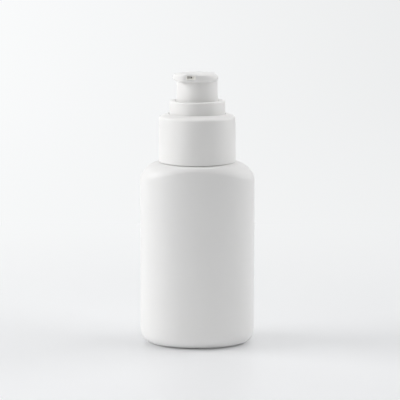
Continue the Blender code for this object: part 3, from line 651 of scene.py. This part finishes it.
SEAT_TOP = 0.0554
SEAT_BOTTOM = 0.0542
SEAT_BORE = 0.0012
SOCKET_TOP = 0.0534
SOCKET_RADIUS = 0.0031
SOCKET_BORE = 0.0021
housing = turned("pump_housing_moulding", [
    (CUP_BORE, FLANGE_TOP, CRISP),
    (FLANGE_RADIUS, FLANGE_TOP, FINE),
    (FLANGE_RADIUS, FLANGE_TOP - FLANGE_THICKNESS, FINE),
    (CUP_RADIUS, FLANGE_TOP - FLANGE_THICKNESS, BROAD),
    (CUP_RADIUS, CUP_FOOT, FULL),
    (BARREL_RADIUS + BARREL_DRAFT, BARREL_TOP, FULL),
    (BARREL_RADIUS - BARREL_DRAFT, BARREL_FOOT, BROAD),
    (SOCKET_RADIUS + BARREL_DRAFT, SEAT_BOTTOM, FULL),
    (SOCKET_RADIUS, housing_low.z, SOFT),
    (SOCKET_BORE, housing_low.z, FINE),
    (SOCKET_BORE, SOCKET_TOP),
    (SEAT_BORE, SOCKET_TOP, FINE),
    (SEAT_BORE, SEAT_BOTTOM, FINE),
    (SOCKET_BORE, SEAT_TOP),
    (SOCKET_BORE, LEDGE, FINE),
    (BARREL_BORE, LEDGE, SOFT),
    (BARREL_BORE, CUP_FLOOR - LEAD_IN),
    (BARREL_BORE + LEAD_IN, CUP_FLOOR),
    (CUP_BORE, CUP_FLOOR, SOFT),
], natural)
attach(housing, "pump_body")
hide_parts("pump_housing")


# Dip tube: extruded polyethylene tube, pushed into the housing's socket.
# Its foot is cut at a slant so that it can't suck itself shut on the bottle's floor.
tube_low, tube_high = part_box("dip_tube")
tube_plastic = plastic("tube_polyethylene", light=(0.80, 0.82, 0.82), deep=(0.75, 0.775, 0.775),
                       roughness=0.30, flow_scale=90, grain_scale=2400, relief=0.000008)
TUBE_WALL = 0.0005
TUBE_COLUMNS = 64
CUT_HEIGHT = 0.006
CUT_STEPS = 6
tube_radius = tube_high.x
tube_bore = tube_radius - TUBE_WALL
slant_start = -tube_radius / 2
cut_heights = [tube_low.z + CUT_HEIGHT * step / CUT_STEPS for step in range(CUT_STEPS + 1)]
dip_tube = turned("dip_tube_extrusion", [
    (tube_bore, tube_high.z, CRISP),
    (tube_radius, tube_high.z, CRISP),
    *[(tube_radius, height) for height in reversed(cut_heights)],
    *[(tube_bore, height) for height in cut_heights],
], tube_plastic, TUBE_COLUMNS)
for vertex in dip_tube.data.vertices:
    below = tube_low.z + CUT_HEIGHT - vertex.co.z
    if below > 0:
        rise = max(vertex.co.x - slant_start, 0)
        vertex.co.z += rise * below / CUT_HEIGHT
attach(dip_tube, "pump_body")
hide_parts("dip_tube")


# Inlet ball: ground stainless ball that drops on its conical seat and lets lotion up but not back.
# It is loose in the cage under the spring.
steel = bpy.data.materials.new("drawn_steel")
steel.use_nodes = True
steel_shader = add_skin(steel, light=(0.68, 0.68, 0.69), deep=(0.55, 0.55, 0.57), roughness=0.26,
                        flow_scale=900, grain_scale=6000)[0]
set_inputs(steel_shader, Metallic=1.0)
ball_low, ball_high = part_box("inlet_ball")
BALL_RADIUS = 0.0016
BALL_STEPS = 32
BALL_COLUMNS = 64
ball_middle = (ball_low.z + ball_high.z) / 2
ball_angles = [math.pi * step / BALL_STEPS for step in range(BALL_STEPS + 1)]
ball = turned("inlet_ball_ground", [
    (BALL_RADIUS * math.sin(angle), ball_middle + BALL_RADIUS * math.cos(angle))
    for angle in ball_angles
], steel, BALL_COLUMNS, closed=False)
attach(ball, "inlet_ball")
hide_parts("inlet_ball")


# Return spring: right-handed coil of stainless wire, closed at both ends so that it stands square.
# It stands on the barrel's ledge and pushes up the plug in the stem, so it shortens with the stroke.
spring_low, spring_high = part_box("return_spring")
WIRE_RADIUS = 0.0003
SPRING_TURNS = 7
SPRING_MEAN = 0.00265
SPRING_TURN_POINTS = 40
CLOSED_PITCH = WIRE_RADIUS * 2.1  # wire almost on wire
WIRE_FADE_TURNS = 0.002
spring_length = spring_high.z - spring_low.z
open_pitch = (spring_length - 2 * WIRE_RADIUS - 2 * CLOSED_PITCH) / (SPRING_TURNS - 2)
spring = point_outwards(made_by(
    HELIX, "return_spring_wire", points=SPRING_TURNS * SPRING_TURN_POINTS, turns=float(SPRING_TURNS),
    radius=SPRING_MEAN, foot=spring_low.z + WIRE_RADIUS, pitch=open_pitch, closed_turns=1.0,
    closed_pitch=CLOSED_PITCH, fade_turns=WIRE_FADE_TURNS, depth=0.0, root=2 * WIRE_RADIUS, crest=0.0,
    round_wire=True, material=steel))
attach(spring, "pump_body")
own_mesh(spring)
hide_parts("return_spring")


# Piston: low-density polyethylene seal with a thin lip that reaches up and down the barrel.
# It slips half a millimetre on the stem, which opens the stem's inlet on the way down.
piston_low, piston_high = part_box("piston")
seal_plastic = plastic("seal_polyethylene", light=(0.78, 0.79, 0.79), deep=(0.72, 0.73, 0.735),
                       roughness=0.50, flow_scale=200, grain_scale=3600, relief=0.00001)
SLEEVE_BORE = 0.00235
SLEEVE_RADIUS = 0.0028
LIP_BORE = 0.00325
LIP_RADIUS = 0.00365
WAIST_RADIUS = 0.00358
WAIST_ROUND = 0.001
WEB_HALF_HEIGHT = 0.0005
INNER_COLUMNS = 96
piston_middle = (piston_low.z + piston_high.z) / 2
upper_half = [
    (SLEEVE_BORE, piston_high.z, CRISP),
    (SLEEVE_RADIUS, piston_high.z, CRISP),
    (SLEEVE_RADIUS, piston_middle + WEB_HALF_HEIGHT, SOFT),
    (LIP_BORE, piston_middle + WEB_HALF_HEIGHT, SOFT),
    (LIP_BORE, piston_high.z, CRISP),
    (LIP_RADIUS, piston_high.z, CRISP),
]
lower_half = [(radius, 2 * piston_middle - height, edge)
              for radius, height, edge in reversed(upper_half)]
waist = (WAIST_RADIUS, piston_middle, WAIST_ROUND)
piston = turned("piston_seal", [*upper_half, waist, *lower_half], seal_plastic, INNER_COLUMNS)
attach(piston, "piston")
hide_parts("piston")


# Stem: natural polypropylene tube, pressed into the head above and driving the piston below.
# Its collar stops under the stem guide and sets how far the head comes up.
stem_low, stem_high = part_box("stem")
STEM_RADIUS = 0.0022
STEM_BORE = 0.0013
STEM_EDGE = 0.00012
STEM_STOP_RADIUS = 0.0034
STEM_STOP_TOP = 0.0826
STEM_STOP_FOOT = 0.0814
STEM_THICK_RADIUS = 0.0029
STEM_THICK_FOOT = 0.0745
stem = turned("stem_tube", [
    (STEM_BORE, stem_high.z, STEM_EDGE),
    (STEM_RADIUS, stem_high.z, SOFT),
    (STEM_RADIUS, STEM_STOP_TOP, SOFT),
    (STEM_STOP_RADIUS, STEM_STOP_TOP, FINE),
    (STEM_STOP_RADIUS, STEM_STOP_FOOT, FINE),
    (STEM_THICK_RADIUS, STEM_STOP_FOOT, FINE),
    (STEM_THICK_RADIUS, STEM_THICK_FOOT, FINE),
    (STEM_RADIUS, STEM_THICK_FOOT, CRISP),
    (STEM_RADIUS, stem_low.z, STEM_EDGE),
    (STEM_BORE, stem_low.z, STEM_EDGE),
], natural, INNER_COLUMNS)
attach(stem, "stem")
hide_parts("stem")


# Stem plug: round head under the piston on a fluted shaft, which is pressed up into the stem.
# Lotion passes over the head and up the flutes, and the spring pushes on the head's underside.
plug_low, plug_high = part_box("stem_plug")
PLUG_HEAD_RADIUS = 0.0029
PLUG_HEAD_TOP = 0.0690
SHAFT_RADIUS = 0.00115
SHAFT_ROOT = 0.0003
SHAFT_POINTS = 64
FLUTE_DEPTH = 0.00035
FLUTES = 4
TIP_CHAMFER = 0.0004
TIP_SHARE = 0.75
plug_head = turned("plug_head", [
    (0, PLUG_HEAD_TOP),
    (PLUG_HEAD_RADIUS, PLUG_HEAD_TOP, FINE),
    (PLUG_HEAD_RADIUS, plug_low.z, FINE),
    (0, plug_low.z),
], natural, INNER_COLUMNS, closed=False)


def fluted_ring(height, share):
    """Section of the fluted shaft at a height, for a share of its full size."""
    ring = []
    for index in range(SHAFT_POINTS):
        angle = math.tau * index / SHAFT_POINTS
        radius = share * (SHAFT_RADIUS - FLUTE_DEPTH / 2 * (1 - math.cos(FLUTES * angle)))
        ring.append((radius * math.cos(angle), radius * math.sin(angle), height))
    return ring


plug_shaft = skin_object("plug_shaft", [
    fluted_ring(plug_low.z + SHAFT_ROOT, 1),
    fluted_ring(plug_high.z - TIP_CHAMFER, 1),
    fluted_ring(plug_high.z, TIP_SHARE),
], natural)
plug = joined("stem_plug_moulding", plug_head, plug_shaft)
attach(plug, "stem")
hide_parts("stem_plug")


# Stem guide: natural polypropylene turret that snaps into the housing's cup and bears the stem.
# Its lip stands over the closure's web, so the closure turns freely but stays on the pump.
guide_low, guide_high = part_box("stem_guide")
GUIDE_BORE = 0.00235
GUIDE_LIP_FOOT = 0.0833
GUIDE_STEP_RADIUS = 0.0066
GUIDE_STEP_FOOT = 0.0820
GUIDE_SKIRT_RADIUS = 0.0052
GUIDE_SKIRT_BORE = 0.0043
GUIDE_CEILING = 0.0829
guide = turned("stem_guide_turret", [
    (GUIDE_BORE, guide_high.z, CRISP),
    (guide_high.x, guide_high.z, FULL),
    (guide_high.x, GUIDE_LIP_FOOT, FINE),
    (GUIDE_STEP_RADIUS, GUIDE_LIP_FOOT, CRISP),
    (GUIDE_STEP_RADIUS, GUIDE_STEP_FOOT, CRISP),
    (GUIDE_SKIRT_RADIUS, GUIDE_STEP_FOOT, CRISP),
    (GUIDE_SKIRT_RADIUS, guide_low.z, FULL),
    (GUIDE_SKIRT_BORE, guide_low.z, SOFT),
    (GUIDE_SKIRT_BORE, GUIDE_CEILING, FULL),
    (GUIDE_BORE, GUIDE_CEILING, CRISP),
], natural, INNER_COLUMNS)
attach(guide, "pump_body")
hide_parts("stem_guide")


# Screw closure: white polypropylene cap with the thread inside, a web that clamps the pump's flange,
# and the ring round the head, which is the only part of it that shows above the collar shell.
WHITE_LIGHT = (0.853, 0.846, 0.834)
WHITE_DEEP = (0.840, 0.833, 0.822)
collar_white = plastic("collar_polypropylene", WHITE_LIGHT, WHITE_DEEP, roughness=0.40, flow_scale=90,
                       grain_scale=2800, relief=0.000015, specular=0.3, scatter=0.0008)
closure_low, closure_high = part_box("screw_closure")
CLOSURE_BORE = 0.01215
CLOSURE_RADIUS = closure_high.x
CLOSURE_SHOULDER = 0.0838
RING_FOOT = 0.0850
RING_RADIUS = 0.01028
RING_BORE = 0.00795
WEB_BOTTOM = 0.0820
WEB_TOP = 0.0830
WEB_HOLE = 0.0069
CLOSURE_THREAD_DEPTH = 0.00095
CLOSURE_THREAD_ROOT = 0.0018
CLOSURE_THREAD_CREST = 0.0007
CLOSURE_COLUMNS = 192
closure_skin = turned("closure_skin", [
    (RING_BORE, closure_high.z, SOFT),
    (RING_RADIUS, closure_high.z, WIDE),
    (RING_RADIUS, RING_FOOT, BROAD),
    (CLOSURE_RADIUS, CLOSURE_SHOULDER, WIDE),
    (CLOSURE_RADIUS, closure_low.z, FULL),
    (CLOSURE_BORE, closure_low.z, FULL),
    (CLOSURE_BORE, WEB_BOTTOM, SOFT),
    (WEB_HOLE, WEB_BOTTOM, CRISP),
    (WEB_HOLE, WEB_TOP, CRISP),
    (RING_BORE, WEB_TOP, SOFT),
], collar_white, CLOSURE_COLUMNS)
closure_thread = screw_thread("closure_thread", CLOSURE_BORE, THREAD_FOOT - THREAD_PITCH / 2,
                              -CLOSURE_THREAD_DEPTH, CLOSURE_THREAD_ROOT, CLOSURE_THREAD_CREST,
                              collar_white)
closure = joined("screw_closure_moulding", closure_skin, closure_thread)
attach(closure, "closure")
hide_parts("screw_closure")


# Collar shell: white polypropylene sleeve with a shallow cone, snapped over the screw closure.
# It gives the pump its smooth outside, and its lower edge stands just clear of the bottle's shoulder.
shell_low, shell_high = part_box("collar_shell")
SHELL_RADIUS = shell_high.x
SHELL_BORE = SHELL_RADIUS - 0.0010
SHELL_DRAFT = 0.0002
SHELL_HOLE = 0.01058
SHELL_EDGE = 0.0850
SHELL_EDGE_ROUND = 0.0009
SHELL_CEILING = 0.0842
SHELL_HOLE_FOOT = 0.0853
SHELL_FOOT = shell_low.z - 0.0002
SHELL_COLUMNS = 256
shell = turned("collar_shell_moulding", [
    (SHELL_HOLE, shell_high.z, FULL),
    (SHELL_RADIUS - SHELL_DRAFT, SHELL_EDGE, SHELL_EDGE_ROUND),
    (SHELL_RADIUS, SHELL_FOOT, FINE),
    (SHELL_BORE, SHELL_FOOT, FINE),
    (SHELL_BORE, SHELL_CEILING, BROAD),
    (SHELL_HOLE, SHELL_HOLE_FOOT, CRISP),
], collar_white, SHELL_COLUMNS)
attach(shell, "closure")
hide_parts("collar_shell")


# Actuator: white polypropylene push-down head, a drafted cylinder that swells into a short spout.
# Inside are the socket that grips the stem, the channel to the spout and a pocket for the nozzle core.
HEAD_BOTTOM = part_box("actuator_cover")[0].z
HEAD_TOP = 0.1010
HEAD_RADIUS = 0.0077
HEAD_TOP_RADIUS = 0.00747
HEAD_EDGE = 0.0003
BROW_BOTTOM = 0.0972
BROW_RISE = 0.0012
BROW_RADIUS = 0.00837
BROW_OFFSET = 0.0034
BROW_EDGE = 0.0004
BROW_LIFT = 0.00005
BLEND_HEIGHT = 0.0016
BLEND_START = 22.0
BLEND_END = 65.0
TOP_RISE = 0.0004
TOP_ROUND = 0.0024
TOP_DROP = 0.0017
FACET_HALF_WIDTH = 0.0028
FACET_ROUND = 0.00012
FACET_REACH = 60.0
FACET_EDGE_SHARE = 0.15
FACET_EASE_ANGLE = 70.0
FRONT_STEPS = 6
FRONT_EDGE_OFFSETS = (-2.2, -1.2, -0.5, 0, 0.5, 1.2, 2.2, 3.6)
SIDE_STEPS = 70
SPOUT_TURN = -11.8
facet_distance = BROW_OFFSET + math.sqrt(BROW_RADIUS ** 2 - FACET_HALF_WIDTH ** 2)
head_white = plastic("head_polypropylene", WHITE_LIGHT, WHITE_DEEP, roughness=0.38, flow_scale=110,
                     grain_scale=2800, relief=0.000015, specular=0.3, scatter=0.0008)


def spout_angles():
    """Angles from the spout's direction, close together at the edges of the flat front."""
    edge = math.atan2(FACET_HALF_WIDTH, facet_distance)
    angles = [edge * step / FRONT_STEPS for step in range(FRONT_STEPS - 1)]
    angles += [edge + math.radians(offset) for offset in FRONT_EDGE_OFFSETS]
    first = angles[-1]
    angles += [first + (math.pi - first) * step / SIDE_STEPS for step in range(1, SIDE_STEPS + 1)]
    return angles + [-angle for angle in reversed(angles[1:-1])]


def egg_radius(angle, inset):
    """Distance from the axis to the brow: two circles, their tangents and the flat front."""
    small = HEAD_TOP_RADIUS - inset
    large = BROW_RADIUS - inset
    bearing = abs(angle)
    tangent = math.acos((small - large) / BROW_OFFSET)
    touch = math.atan2(large * math.sin(tangent), BROW_OFFSET + large * math.cos(tangent))
    if bearing >= tangent:
        reach = small
    elif bearing >= touch:
        reach = small / math.cos(bearing - tangent)
    else:
        side = BROW_OFFSET * math.sin(bearing)
        reach = BROW_OFFSET * math.cos(bearing) + math.sqrt(large ** 2 - side ** 2)
    if bearing < math.radians(FACET_REACH):
        flat = (facet_distance - inset * FACET_EDGE_SHARE) / math.cos(bearing)
        nearer = min(reach, flat)
        apart = abs(reach - flat)
        reach = nearer - FACET_ROUND * math.log(1 + math.exp(-apart / FACET_ROUND))
    return reach


def towards_tip(radius, angle):
    """Share of the way from the back of the head to the spout's tip."""
    return (radius * math.cos(angle) + HEAD_TOP_RADIUS) / (facet_distance + HEAD_TOP_RADIUS)


def underside(radius, angle):
    """Height of the brow's underside, which rises towards the spout's tip."""
    return BROW_BOTTOM + BROW_RISE * towards_tip(radius, angle)


def head_ring(radii, heights):
    """Ring of points round the axis, with one radius and height for each of the spout's angles."""
    return [(radius * math.sin(angle), -radius * math.cos(angle), height)
            for angle, radius, height in zip(spout_angles(), radii, heights)]


def edge_ease(angle):
    """Share of the top edge's fall; the edge is sharper over the flat front."""
    away = abs(math.degrees(angle)) / FACET_EASE_ANGLE
    return min(1, FACET_EDGE_SHARE + (1 - FACET_EDGE_SHARE) * away)


def top_ring(roll):
    """Ring of the rounded top edge, on a top that rises to the spout."""
    angles = spout_angles()
    radii = [egg_radius(angle, TOP_ROUND * (1 - math.cos(roll))) for angle in angles]
    drops = [TOP_DROP * edge_ease(angle) * (1 - math.sin(roll)) for angle in angles]
    heights = [HEAD_TOP + TOP_RISE * towards_tip(radius, angle) - drop
               for radius, angle, drop in zip(radii, angles, drops)]
    return head_ring(radii, heights)


def eased(share):
    """A share that starts and ends gently."""
    return share * share * (3 - 2 * share)


def side_blend(angle):
    """0 under the spout, where the brow has a plain underside, and 1 where it flows out of the wall."""
    share = (abs(math.degrees(angle)) - BLEND_START) / (BLEND_END - BLEND_START)
    return eased(min(1, max(0, share)))


def brow_ring(share):
    """Ring between the brow's underside and its full width, for a share of the way up."""
    roll = math.pi / 2 * share
    radii, heights = [], []
    for angle in spout_angles():
        blend = side_blend(angle)
        full = egg_radius(angle, 0)
        start = (full - BROW_EDGE) * (1 - blend) + HEAD_TOP_RADIUS * blend
        out = math.sin(roll) * (1 - blend) + eased(share) * blend
        up = BROW_EDGE * (1 - math.cos(roll)) * (1 - blend) + BLEND_HEIGHT * share * blend
        radii.append(start + (full - start) * out)
        heights.append(underside(radii[-1], angle) + BROW_LIFT + up)
    return head_ring([max(radius, HEAD_TOP_RADIUS) for radius in radii], heights)


def round_ring(radius, height):
    """Level ring of one radius."""
    count = len(spout_angles())
    return head_ring([radius] * count, [height] * count)


EDGE_STEPS = 4
WALL_STEPS = 8
BROW_STEPS = 7
SIDE_SHARES = (0.3, 0.7)
TOP_STEPS = 10
wall_foot = HEAD_BOTTOM + HEAD_EDGE
wall_heights = [underside(HEAD_TOP_RADIUS, angle) for angle in spout_angles()]
rings = [[(0, 0, HEAD_BOTTOM)]]
for step in range(EDGE_STEPS + 1):
    roll = math.pi / 2 * step / EDGE_STEPS
    rings.append(round_ring(HEAD_RADIUS - HEAD_EDGE * (1 - math.sin(roll)),
                            HEAD_BOTTOM + HEAD_EDGE * (1 - math.cos(roll))))
for step in range(1, WALL_STEPS + 1):
    share = step / WALL_STEPS
    radius = HEAD_RADIUS + (HEAD_TOP_RADIUS - HEAD_RADIUS) * share
    heights = [wall_foot + (height - wall_foot) * share for height in wall_heights]
    rings.append(head_ring([radius] * len(heights), heights))
rings += [brow_ring(step / BROW_STEPS) for step in range(BROW_STEPS + 1)]
side_foot, side_top = rings[-1], top_ring(0)
for share in SIDE_SHARES:
    rings.append([(x, y, low + (high - low) * share)
                  for (x, y, low), (x, y, high) in zip(side_foot, side_top)])
rings += [top_ring(math.pi / 2 * step / TOP_STEPS) for step in range(TOP_STEPS + 1)]
rings.append([(0, -BROW_OFFSET / 2, HEAD_TOP + TOP_RISE * towards_tip(BROW_OFFSET / 2, 0))])
head = skin_object("actuator_moulding", rings, head_white)


def hollow(piece, tool):
    """Cut a tool out of a piece with the exact solver, and keep the plain mesh."""
    piece.modifiers.new("hollow", "BOOLEAN").object = tool
    plain_mesh(piece)
    bpy.data.objects.remove(tool)


BOSS_RADIUS = 0.0035
BOSS_FOOT = HEAD_BOTTOM + 0.0007
SKIRT_CEILING = BROW_BOTTOM - 0.0002
SKIRT_BORE_TOP = 0.00632
SKIRT_BORE_FOOT = 0.00655
SKIRT_FLARE = 0.0067
SKIRT_FLARE_TOP = HEAD_BOTTOM + 0.0001
SKIRT_CUT_FOOT = HEAD_BOTTOM - 0.0005
hollow(head, turned("skirt_hollow", [
    (0, BOSS_FOOT),
    (BOSS_RADIUS, BOSS_FOOT, FINE),
    (BOSS_RADIUS, SKIRT_CEILING, FULL),
    (SKIRT_BORE_TOP, SKIRT_CEILING, BROAD),
    (SKIRT_BORE_FOOT, SKIRT_FLARE_TOP),
    (SKIRT_FLARE, SKIRT_CUT_FOOT),
    (0, SKIRT_CUT_FOOT),
], head_white, INNER_COLUMNS, closed=False))
MOUTH_HEIGHT = HEAD_TOP + TOP_RISE - 0.0013
RISER_BORE = 0.0011
RISER_TOP = MOUTH_HEIGHT + 0.0002
STEM_GRIP_BORE = 0.00235
STEM_GRIP_TOP = stem_high.z + 0.0003
STEM_GRIP_CUT_FOOT = HEAD_BOTTOM - 0.001
hollow(head, turned("stem_socket", [
    (0, RISER_TOP),
    (RISER_BORE, RISER_TOP),
    (RISER_BORE, STEM_GRIP_TOP),
    (STEM_GRIP_BORE, STEM_GRIP_TOP),
    (STEM_GRIP_BORE, STEM_GRIP_CUT_FOOT),
    (0, STEM_GRIP_CUT_FOOT),
], head_white, INNER_COLUMNS, closed=False))


def rounded_rectangle(width, height, corner, steps=6):
    """Points of a rectangle with round corners."""
    across = width / 2 - corner
    up = height / 2 - corner
    points = []
    for quarter, (x, y) in enumerate([(across, up), (-across, up), (-across, -up), (across, -up)]):
        for step in range(steps + 1):
            angle = math.pi / 2 * (quarter + step / steps)
            points.append((x + corner * math.cos(angle), y + corner * math.sin(angle)))
    return points


def spout_bar(name, material, *sections):
    """Bar along the spout through sections: distance from the axis, width, height, corner, drop."""
    rings = [[(0, -sections[0][0], MOUTH_HEIGHT)]]
    for distance, width, height, corner, *drop in sections:
        down = drop[0] if drop else 0
        rings.append([(x, -distance, MOUTH_HEIGHT - down / 2 + z)
                      for x, z in rounded_rectangle(width, height + down, corner)])
    rings.append([(0, -sections[-1][0], MOUTH_HEIGHT)])
    return skin_object(name, rings, material)


POCKET_DEPTH = 0.0032
CHANNEL_OVERLAP = 0.001
MOUTH_DEPTH = 0.0001
CHANNEL = (0.0012, 0.0010, 0.00045)  # width, height and corner
POCKET = (0.0038, 0.0018, 0.0005)
MOUTH = (0.0042, 0.0018, 0.0005, 0.0006)  # and drop of the foot
SPOUT_SHARP_ANGLE = 32.0
pocket_back = facet_distance - POCKET_DEPTH
hollow(head, spout_bar("channel", head_white, (0, *CHANNEL), (pocket_back + CHANNEL_OVERLAP, *CHANNEL)))
hollow(head, spout_bar("pocket", head_white, (pocket_back, *POCKET),
                       (facet_distance - MOUTH_DEPTH, *POCKET),
                       (facet_distance + MOUTH_DEPTH, *MOUTH)))
soften(head.data, SPOUT_SHARP_ANGLE)
spout_turn = Matrix.Rotation(math.radians(SPOUT_TURN), 4, "Z")
head.data.transform(spout_turn)
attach(head, "actuator")
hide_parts("actuator_cover")


# Nozzle core: small polypropylene insert, pressed into the spout's pocket up to its front.
# Its white is painted lighter than the head's, a painted highlight for the lit frame round the slot.
# Its shallow flared slot shapes the lotion into a flat ribbon, and looks dark as little light gets in.
CORE = (0.00376, 0.00176, 0.00048)
CORE_FACE = (0.0036, 0.0016, 0.0004)
CORE_CHAMFER = 0.0001
CORE_BORE = (0.0006, 0.0006, 0.00028)
CORE_BORE_PAST = 0.001
SLOT = (0.0027, 0.0012, 0.00015, -0.0002)
SLOT_DEPTH = 0.0010
SLOT_FLARE = (0.0031, 0.0018, 0.0003, -0.0002)
SLOT_FLARE_START = 0.0001
SLOT_FLARE_END = 0.0002
core_back = pocket_back + 0.0001
core_front = facet_distance + 0.0001
# Painted highlight: the core's colour is lighter than the head's white, standing in for light on the
# slot's frame.
core_painted_light = plastic("nozzle_polypropylene", light=(0.94, 0.925, 0.890), deep=(0.92, 0.900, 0.860),
                     roughness=0.36, flow_scale=110, grain_scale=2800, relief=0.000015, specular=0.3,
                     scatter=0.0003)
core = spout_bar("nozzle_core_insert", core_painted_light, (core_back, *CORE),
                 (core_front - CORE_CHAMFER, *CORE), (core_front, *CORE_FACE))
hollow(core, spout_bar("core_bore", core_painted_light, (pocket_back - CORE_BORE_PAST, *CORE_BORE),
                       (core_front + CORE_BORE_PAST, *CORE_BORE)))
hollow(core, spout_bar("slot", core_painted_light, (core_front - SLOT_DEPTH, *SLOT),
                       (core_front - SLOT_FLARE_START, *SLOT),
                       (core_front + SLOT_FLARE_END, *SLOT_FLARE)))
soften(core.data, SPOUT_SHARP_ANGLE)
core.data.transform(spout_turn)
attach(core, "actuator")
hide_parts("nozzle_core")


# Studio sweep: seamless white board, slightly glossy, that the bottle stands on, bent up far behind it.
# It takes the shadow and a faint reflection. Its far part is painted light: to the camera and in
# reflections it glows, as if lit from behind, and the painted glow falls off to the right.
SWEEP_HALF_WIDTH = 1.2
SWEEP_FRONT = -0.25
SWEEP_BACK = 1.1
SWEEP_HEIGHT = 1.2
SWEEP_BEND = 0.35
SWEEP_BEND_STEPS = 24
sweep_points = [(SWEEP_FRONT, 0.0)]
for step in range(SWEEP_BEND_STEPS + 1):
    angle = math.pi / 2 * step / SWEEP_BEND_STEPS
    sweep_points.append((SWEEP_BACK - SWEEP_BEND * (1 - math.sin(angle)),
                         SWEEP_BEND * (1 - math.cos(angle))))
sweep_points.append((SWEEP_BACK, SWEEP_HEIGHT))
sweep_mesh = bpy.data.meshes.new("studio_sweep")
sweep_sides = (-SWEEP_HALF_WIDTH, SWEEP_HALF_WIDTH)
sweep_vertices = [(side, y, z) for y, z in sweep_points for side in sweep_sides]
sweep_faces = [(row, row + 1, row + 3, row + 2) for row in range(0, len(sweep_vertices) - 2, 2)]
sweep_mesh.from_pydata(sweep_vertices, [], sweep_faces)
sweep_mesh.shade_smooth()
sweep = bpy.data.objects.new("studio_sweep", sweep_mesh)
bpy.context.scene.collection.objects.link(sweep)


def board_glow():
    """Share and strength of the board's painted light, which rises from the bottle backwards and falls
    to the right.
    """
    group = shade_group("board_glow",
                        [("Start", "Float"), ("End", "Float"), ("Level", "Float"), ("Fall", "Float")],
                        [("Share", "Float"), ("Strength", "Float")])
    x, y = group.parts(group.place)[:2]
    start = group.given("Start")
    share = ((y - start) / (group.given("End") - start)).clamped()
    group.feed(group.result.inputs["Share"], share * share * (share * -2.0 + 3.0))
    group.feed(group.result.inputs["Strength"], group.given("Level") - x * group.given("Fall"))
    return group.tree


board = bpy.data.materials.new("pale_board")
board.use_nodes = True
board_nodes = board.node_tree.nodes
board_links = board.node_tree.links
board_paint = board_nodes["Principled BSDF"]
set_inputs(board_paint, Base_Color=(0.835, 0.840, 0.850, 1), Roughness=0.36)
board_painted_glow = board_nodes.new("ShaderNodeEmission")
set_inputs(board_painted_glow, Color=(0.985, 0.995, 1.0, 1))
board_skin = board_nodes.new("ShaderNodeGroup")
board_skin.node_tree = board_glow()
set_inputs(board_skin, Start=-0.04, End=0.25, Level=0.912, Fall=0.28)
# Painted light: the glow is seen only by camera, glossy and transmission rays, so it lights nothing.
rays = board_nodes.new("ShaderNodeLightPath")
camera_ray, glossy_ray, glass_ray, glow = [
    Formula(board.node_tree, socket) for socket in
    (rays.outputs["Is Camera Ray"], rays.outputs["Is Glossy Ray"], rays.outputs["Is Transmission Ray"],
     board_skin.outputs["Share"])]
glow_share = camera_ray.step("MAXIMUM", glossy_ray).step("MAXIMUM", glass_ray) * glow
board_mix = board_nodes.new("ShaderNodeMixShader")
board_links.new(board_skin.outputs["Strength"], board_painted_glow.inputs["Strength"])
board_links.new(glow_share.socket, board_mix.inputs[0])
board_links.new(board_paint.outputs[0], board_mix.inputs[1])
board_links.new(board_painted_glow.outputs[0], board_mix.inputs[2])
board_links.new(board_mix.outputs[0], board_nodes["Material Output"].inputs["Surface"])
sweep_mesh.materials.append(board)


# Studio light: a small strong soft box high on the left, a larger one on the right, a soft top light,
# a low fill from the left front, a faint front light and a dim room. The bottle's front is lit least.
BOTTLE_MIDDLE = Vector((0, 0, 0.05))


def soft_box(name, place, width, height, power):
    """Rectangular lamp that faces the bottle's middle."""
    light = bpy.data.lights.new(name, "AREA")
    light.shape = "RECTANGLE"
    light.size = width
    light.size_y = height
    light.energy = power
    lamp = bpy.data.objects.new(name, light)
    lamp.location = place
    lamp.rotation_euler = (BOTTLE_MIDDLE - Vector(place)).to_track_quat("-Z", "Y").to_euler()
    bpy.context.scene.collection.objects.link(lamp)


soft_box("key_left", (-0.80, 0.00, 0.45), width=0.5, height=0.3, power=4.35)
soft_box("fill_left", (-0.65, -0.55, 0.17), width=0.5, height=0.3, power=1.9)
soft_box("fill_right", (0.80, 0.05, 0.48), width=1.0, height=0.7, power=5.6)
soft_box("top", (0.00, 0.10, 0.95), width=0.8, height=0.8, power=3.5)
soft_box("front", (0.00, -0.75, 0.50), width=0.6, height=0.4, power=0.6)
world = bpy.data.worlds.new("room")
world.use_nodes = True
set_inputs(world.node_tree.nodes["Background"], Color=(0.95, 0.98, 1.0, 1), Strength=0.08)
bpy.context.scene.world = world


# Camera: long lens from a little above, at the height and distance that the photographed edges give.
CAMERA_PLACE = (0.0010, -0.5867, 0.1502)
CAMERA_DIP = 9.34
camera_data = bpy.data.cameras.new("camera")
camera_data.lens = 144.0
camera_data.sensor_width = 36.0
camera = bpy.data.objects.new("camera", camera_data)
camera.location = CAMERA_PLACE
camera.rotation_euler = (math.radians(90.0 - CAMERA_DIP), 0, 0)
bpy.context.scene.collection.objects.link(camera)
bpy.context.scene.camera = camera
bpy.context.scene.view_settings.view_transform = "Standard"
